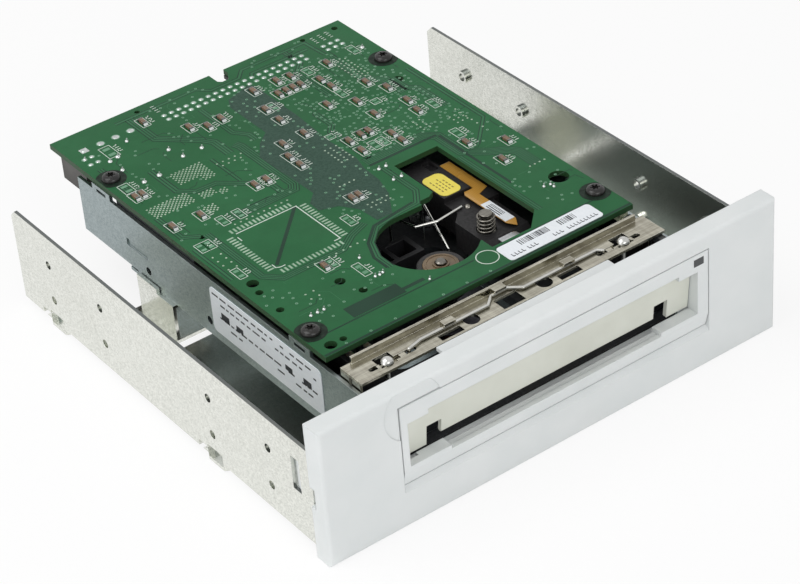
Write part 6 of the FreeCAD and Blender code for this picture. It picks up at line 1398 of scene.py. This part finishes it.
# ---------------------------------------------------------------- labels, springs and leads
@dataclass
class Labels:
    """Plain bars and blocks on the labels, with nothing to read.

    Attributes:
        datum: Where millimetres start.
        ink: Height of the ink in millimetres.
        seed: Seed of the bars' widths.
    """

    datum: Datum
    ink: float = 0.02
    seed: int = 5

    def build(self) -> None:
        """Print every label."""
        self.board_label()
        self.flex_label()
        self.side_label()
        self.sticker()

    def bars(self, sheet: Sketch, x0: float, x1: float, y0: float, y1: float, level: float, finish: Finish,
             along_x: bool = True) -> None:
        """Fill a block with bars of mixed widths.

        Args:
            sheet: The sketch to draw in.
            x0: Left side.
            x1: Right side.
            y0: Front side.
            y1: Rear side.
            level: The label's face.
            finish: The ink.
            along_x: Whether the bars follow one another along X.
        """
        rng = random.Random(self.seed)
        start, end = (x0, x1) if along_x else (y0, y1)
        here = start
        while here < end - 0.2:
            wide = rng.choice((0.16, 0.16, 0.3, 0.45))
            stop = min(here + wide, end)
            if along_x:
                sheet.bar(here, stop, y0, y1, level, level + self.ink, finish)
            else:
                sheet.bar(x0, x1, here, stop, level, level + self.ink, finish)
            here = stop + rng.choice((0.18, 0.26, 0.4))

    def board_label(self) -> None:
        """Bars in the upper row and short dashes in the lower row of the board's label."""
        (x0, y0, _), (x1, y1, level) = self.datum.span(*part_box("board_label"))
        sheet = Sketch("board_label_bars", self.datum)
        middle = (y0 + y1) / 2
        self.bars(sheet, x0 + 6.5, x0 + 16.5, middle + 0.4, y1 - 0.8, level, Finishes.INK)
        self.bars(sheet, x0 + 20.0, x0 + 25.6, middle + 0.4, y1 - 0.8, level, Finishes.INK)
        for start, count in ((1.6, 4), (7.0, 3), (15.6, 3), (20.4, 9)):
            for k in range(count):
                left = x0 + start + k * 1.15
                sheet.bar(left, left + 0.8, y0 + 1.2, y0 + 1.5, level, level + self.ink, Finishes.INK)
                sheet.bar(left, left + 0.24, y0 + 1.2, y0 + 2.5, level, level + self.ink, Finishes.INK)
        sheet.finish("housing", "label_paper")

    def flex_label(self) -> None:
        """Bars across the flat cable's label."""
        (x0, y0, _), (x1, y1, level) = self.datum.span(*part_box("flex_label"))
        sheet = Sketch("flex_label_bars", self.datum)
        self.bars(sheet, x0 + 0.6, x1 - 0.5, y0 + 3.2, y1 - 1.6, level, Finishes.INK)
        sheet.finish("carriage", "label_paper")

    def sticker(self) -> None:
        """Faint dashes on the carriage's sticker."""
        (x0, y0, _), (x1, y1, level) = self.datum.span(*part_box("carriage_sticker"))
        sheet = Sketch("sticker_dashes", self.datum)
        for row in range(4):
            left = x0 + 1.4 + row * 1.15
            for k in range(5 - row % 2):
                front = y0 + 2.2 + k * 1.35
                sheet.bar(left, left + 0.4, front, front + 0.85, level, level + self.ink, Finishes.FAINT_INK)
        sheet.finish("carriage", "sticker_paper")

    def side_label(self) -> None:
        """Blocks, rings and lines on the label on the drive's left wall."""
        (face, y0, z0), (_, y1, z1) = self.datum.span(*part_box("side_label"))
        sheet = Sketch("side_label_marks", self.datum)
        rng = random.Random(self.seed + 3)
        middle = (z0 + z1) / 2
        for z in (z1 - 2.2, z1 - 4.4, z0 + 5.6, z0 + 3.4):
            y = y0 + 2.5
            while y < y1 - 4:
                wide = rng.uniform(1.0, 3.2)
                if rng.random() < 0.72:
                    self.upright_mark(sheet, face, (y, y + wide), (z, z + 0.55))
                y += wide + rng.uniform(0.5, 1.2)
        for y, tall in ((y0 + 5.0, 3.6), (y0 + 13.5, 3.2), (y1 - 8.5, 3.8), (y1 - 15.0, 3.2)):
            self.upright_mark(sheet, face, (y, y + tall), (middle - tall / 2 + 0.4, middle + tall / 2 - 1.2))
        sheet.finish("housing", "label_paper")

    def upright_mark(self, sheet: Sketch, face: float, depth: Point, height: Point) -> None:
        """Add one block of ink on an upright face.

        Args:
            sheet: The sketch to draw in.
            face: The label's face.
            depth: Where it starts and ends along the drive.
            height: Its lower and upper edge.
        """
        points = [(x, y, z) for x in (face - self.ink, face) for y in depth for z in height]
        sheet.add(points, [(0, 1, 3, 2), (4, 6, 7, 5), (0, 4, 5, 1), (2, 3, 7, 6), (0, 2, 6, 4), (1, 5, 7, 3)],
                  Finishes.INK)


@dataclass
class Mechanism:
    """Springs, dark strips of painted shade, leads and rings that the solids leave plain.

    Attributes:
        frame: The loaded frame.
        datum: Where millimetres start.
        coils: Turns of the post's spring.
        closed_end: Share of its length that lies flat at each end.
        points_per_turn: Points of each turn.
        spring_wire: Radius of its wire in millimetres.
        throat: Half the width of the slot's throat.
        wire_bend: Where the hold-down wire starts to bend, from its free end.
        wire_hold: Where it lies on the carriage, from its free end.
        lead_pitch: Pitch of the packages' leads.
    """

    frame: dict
    datum: Datum
    coils: float = 5.5
    closed_end: float = 0.12
    points_per_turn: int = 28
    spring_wire: float = 0.3
    throat: float = 45.6
    wire_bend: float = 5.8
    wire_hold: float = 2.8
    lead_pitch: float = 1.27

    def build(self) -> None:
        """Build every piece of the mechanism."""
        self.painted_shade_strips()
        self.post_spring()
        self.spring_wires()
        self.package_leads()
        self.hub_rings()

    def painted_shade_strips(self) -> None:
        """Black strips that paint the shade in the slot's throat and in the gap under the board's left edge."""
        (left, front, base), (*_, wall_top) = self.datum.span(*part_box("drive_chassis"))
        # Painted shade: a thin black strip and shelf that stand for the shade in the slot's throat.
        throat = Sketch("throat_painted_shade", self.datum)
        throat.bar(-self.throat, self.throat, front - 0.22, front - 0.02, base, base + 1.1, Finishes.DECK)
        throat.bar(-self.throat, self.throat, front - 0.02, front + 3.4, base + 1.02, base + 1.1, Finishes.DECK)
        throat.finish("housing", "deck_casting")
        # Painted shade: a dark strip that stands for the shade in the gap under the board's left edge.
        gap_shade = Sketch("board_gap_painted_shade", self.datum)
        gap_shade.bar(left + 1.15, left + 1.6, 92.0, 131.0, wall_top - 5.0, wall_top - 0.05, Finishes.DECK)
        gap_shade.finish("housing", "deck_casting")

    def post_spring(self) -> None:
        """Wound spring under the guide post's head."""
        (x0, y0, z0), (x1, y1, z1) = self.datum.span(*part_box("post_spring"))
        x, y, radius = (x0 + x1) / 2, (y0 + y1) / 2, (x1 - x0) / 2 - self.spring_wire
        bottom, top = z0 + self.spring_wire, z1 - self.spring_wire
        steps = int(self.coils * self.points_per_turn)
        line = []
        for k in range(steps + 1):
            share = k / steps
            eased = min(max((share - self.closed_end) / (1 - 2 * self.closed_end), 0.0), 1.0)
            angle = math.tau * self.coils * share
            line.append((x + radius * math.cos(angle), y + radius * math.sin(angle), bottom + (top - bottom) * eased))
        spring = Sketch("post_spring_coils", self.datum)
        spring.tube(line, self.spring_wire, Finishes.WORN, 10)
        bend = Bend("carriage", self.datum.at(x, y, z1), self.datum.at(x, y, z0))
        spring.finish("housing", "spring_steel", replaces=("post_spring",), bend=bend)

    def spring_wires(self) -> None:
        """Copy of the deck's spring wires, baked in place; the long one holds down the carriage but is not bent."""
        (_, y0, z0), (right, _, _) = self.datum.span(*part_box("mechanism_springs"))
        node = self.frame["nodes"]["mechanism_springs"]
        mesh = node.data.copy()
        mesh.transform(node.matrix_world)
        mesh.materials.clear()
        mesh.materials.append(Finishes.WIRE.build())
        piece = bpy.data.objects.new("spring_wires", mesh)
        bpy.context.scene.collection.objects.link(piece)
        start, end = self.datum.at(right - self.wire_bend, y0, z0), self.datum.at(right - self.wire_hold, y0, z0)
        Bend("carriage", start, end).apply(piece, "housing")
        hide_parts("mechanism_springs")
        LOG.info("piece %s on housing: %d faces", piece.name, len(mesh.polygons))

    def package_leads(self) -> None:
        """Bent leads round each package under the board."""
        leads = Sketch("package_leads", self.datum)
        board = self.datum.of(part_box("circuit_board")[0])[2]
        for low, high in solids_of(self.frame["nodes"]["controller_chips"]):
            (x0, y0, z0), (x1, y1, _) = self.datum.span(low, high)
            middle = (z0 + board) / 2
            for k in range(int((y1 - y0 - 2) / self.lead_pitch) + 1):
                y = y0 + 1 + k * self.lead_pitch
                for edge, way in ((x0, -1), (x1, 1)):
                    leads.tube([(edge - way * 0.1, y, middle), (edge + way * 0.5, y, middle),
                                (edge + way * 0.8, y, board - 0.12), (edge + way * 1.5, y, board - 0.12)], 0.1,
                               Finishes.SOLDER, 4)
        leads.finish("housing", "screw_steel")

    def hub_rings(self) -> None:
        """Moulded rings and spokes on the top of the capstan's hub."""
        (x0, y0, _), (x1, y1, top) = self.datum.span(*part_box("capstan_hub"))
        x, y, radius = (x0 + x1) / 2, (y0 + y1) / 2, (x1 - x0) / 2
        hub = Sketch("hub_rings", self.datum)
        hub.ring(x, y, radius * 0.86, radius * 0.78, top, top + 0.15, Finishes.HUB, 40)
        hub.ring(x, y, radius * 0.46, radius * 0.36, top, top + 0.35, Finishes.HUB, 32)
        hub.finish("capstan", "hub_plastic")


# ---------------------------------------------------------------- studio
@dataclass(frozen=True)
class Lamp:
    """One soft area lamp.

    Attributes:
        name: Its name.
        offset: Its place from the drive's middle, in metres.
        size: Its side in metres.
        power: Its power in watts.
    """

    name: str
    offset: tuple[float, float, float]
    size: float
    power: float


@dataclass
class Studio:
    """Floor, world, lamps and camera.

    Attributes:
        datum: Where millimetres start.
        eye: The camera's place in millimetres from the datum.
        azimuth: Its direction about the upright axis, in degrees.
        elevation: How far it looks down, in degrees.
        roll: Its tilt about its own axis, in degrees.
        lens: Focal length for a 36 mm wide picture.
        fill: Strength of the world's light on surfaces.
        paper: Brightness of the floor's paper.
        floor_glow: Share of pure white in the floor where it is seen.
        floor_half: Half the floor's width in metres.
    """

    datum: Datum
    eye: tuple[float, float, float] = (-333.67, -424.61, 436.23)
    azimuth: float = -34.039
    elevation: float = 35.506
    roll: float = -4.896
    lens: float = 120.69
    fill: float = 0.5
    paper: float = 0.9
    floor_glow: float = 0.84
    floor_half: float = 6.0

    def build(self) -> None:
        """Set up the whole studio."""
        bpy.context.scene.view_settings.view_transform = "Standard"
        self.world()
        self.floor()
        for lamp in (Lamp("key", (-0.5, 0.15, 0.85), 0.7, 4.2), Lamp("front_fill", (-0.1, -0.9, 0.5), 0.6, 2.7),
                     Lamp("left_fill", (-1.0, -0.1, 0.35), 0.6, 1.4)):
            self.lamp(lamp)
        self.camera()

    def world(self) -> None:
        """Plain world: white where it is seen or mirrored, softer where it lights."""
        world = bpy.data.worlds.new("studio")
        bpy.context.scene.world = world
        world.use_nodes = True
        graph = Graph(world.node_tree)
        world.node_tree.nodes.clear()
        seen = graph.node("ShaderNodeBackground")
        seen.inputs["Color"].default_value = (1.0, 1.0, 1.0, 1.0)
        light = graph.node("ShaderNodeBackground")
        light.inputs["Color"].default_value = (1.0, 1.0, 1.0, 1.0)
        light.inputs["Strength"].default_value = self.fill
        direct = graph.seen()
        blend = graph.node("ShaderNodeMixShader")
        graph.feed(blend.inputs[0], direct)
        graph.feed(blend.inputs[1], light.outputs[0])
        graph.feed(blend.inputs[2], seen.outputs[0])
        result = graph.node("ShaderNodeOutputWorld")
        graph.feed(result.inputs["Surface"], blend.outputs[0])

    def floor(self) -> None:
        """Wide pale floor that keeps a soft shadow."""
        material = bpy.data.materials.new("floor_paper")
        material.use_nodes = True
        graph = Graph(material.node_tree)
        material.node_tree.nodes.clear()
        paper = graph.node("ShaderNodeBsdfDiffuse")
        paper.inputs["Color"].default_value = (self.paper, self.paper, self.paper, 1.0)
        glow = graph.node("ShaderNodeEmission")
        glow.inputs["Color"].default_value = (1.0, 1.0, 1.0, 1.0)
        glow.inputs["Strength"].default_value = 1.0
        direct = graph.seen()
        blend = graph.node("ShaderNodeMixShader")
        graph.feed(blend.inputs[0], graph.math("MULTIPLY", direct, self.floor_glow))
        graph.feed(blend.inputs[1], paper.outputs[0])
        graph.feed(blend.inputs[2], glow.outputs[0])
        result = graph.node("ShaderNodeOutputMaterial")
        graph.feed(result.inputs["Surface"], blend.outputs[0])
        mesh = bpy.data.meshes.new("floor")
        wide = self.floor_half
        mesh.from_pydata([(-wide, -wide, 0), (wide, -wide, 0), (wide, wide, 0), (-wide, wide, 0)], [], [(0, 1, 2, 3)])
        mesh.materials.append(material)
        floor = bpy.data.objects.new("floor", mesh)
        floor.location = (0, 0, self.datum.low - 0.05 * MM)
        bpy.context.scene.collection.objects.link(floor)

    @staticmethod
    def lamp(lamp: Lamp) -> None:
        """Add one area lamp that faces the drive.

        Args:
            lamp: Its numbers.
        """
        light = bpy.data.lights.new(lamp.name, "AREA")
        light.size = lamp.size
        light.energy = lamp.power
        placed = bpy.data.objects.new(lamp.name, light)
        placed.location = lamp.offset
        placed.rotation_euler = Vector(lamp.offset).to_track_quat("Z", "Y").to_euler()
        bpy.context.scene.collection.objects.link(placed)

    def camera(self) -> None:
        """Add the camera."""
        az, el, roll = (math.radians(a) for a in (self.azimuth, self.elevation, self.roll))
        back = Vector((math.sin(az) * math.cos(el), -math.cos(az) * math.cos(el), math.sin(el)))
        right = (-back).cross(Vector((0, 0, 1))).normalized()
        up = right.cross(-back)
        side = right * math.cos(roll) + up * math.sin(roll)
        above = up * math.cos(roll) - right * math.sin(roll)
        view = bpy.data.cameras.new("camera")
        view.lens = self.lens
        view.clip_start = 0.01
        view.clip_end = 20.0
        placed = bpy.data.objects.new("camera", view)
        turn = Matrix((side, above, back)).transposed().to_4x4()
        placed.matrix_world = Matrix.Translation(self.datum.at(*self.eye)) @ turn
        bpy.context.scene.collection.objects.link(placed)
        bpy.context.scene.camera = placed


def dress_nodes(frame: dict) -> None:
    """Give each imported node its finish.

    Args:
        frame: The loaded frame.
    """
    for finish, names in NODE_FINISHES.items():
        material = finish.build()
        for name in names:
            node = frame["nodes"][name]
            if not node.material_slots:
                node.data.materials.append(material)
            for slot in node.material_slots:
                slot.material = material
            LOG.info("node %s: %s", name, finish.name)


def corners(bounds: Box) -> list[list[float]]:
    """Turn a box into plain lists of numbers."""
    return [list(corner) for corner in bounds]


def main() -> None:
    """Load the frame, dress it, add the pieces and set up the studio."""
    logging.basicConfig(level=logging.INFO, format="%(name)s: %(message)s")
    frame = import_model()
    datum = Datum(front=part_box("outer_bezel")[0].y, low=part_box("outer_bezel")[0].z)
    dress_nodes(frame)
    for part in (BoardDressing(frame, datum), Labels(datum), Mechanism(frame, datum)):
        part.build()
        LOG.info("built %s", type(part).__name__)
    Studio(datum).build()


if __name__ == "__main__":
    main()
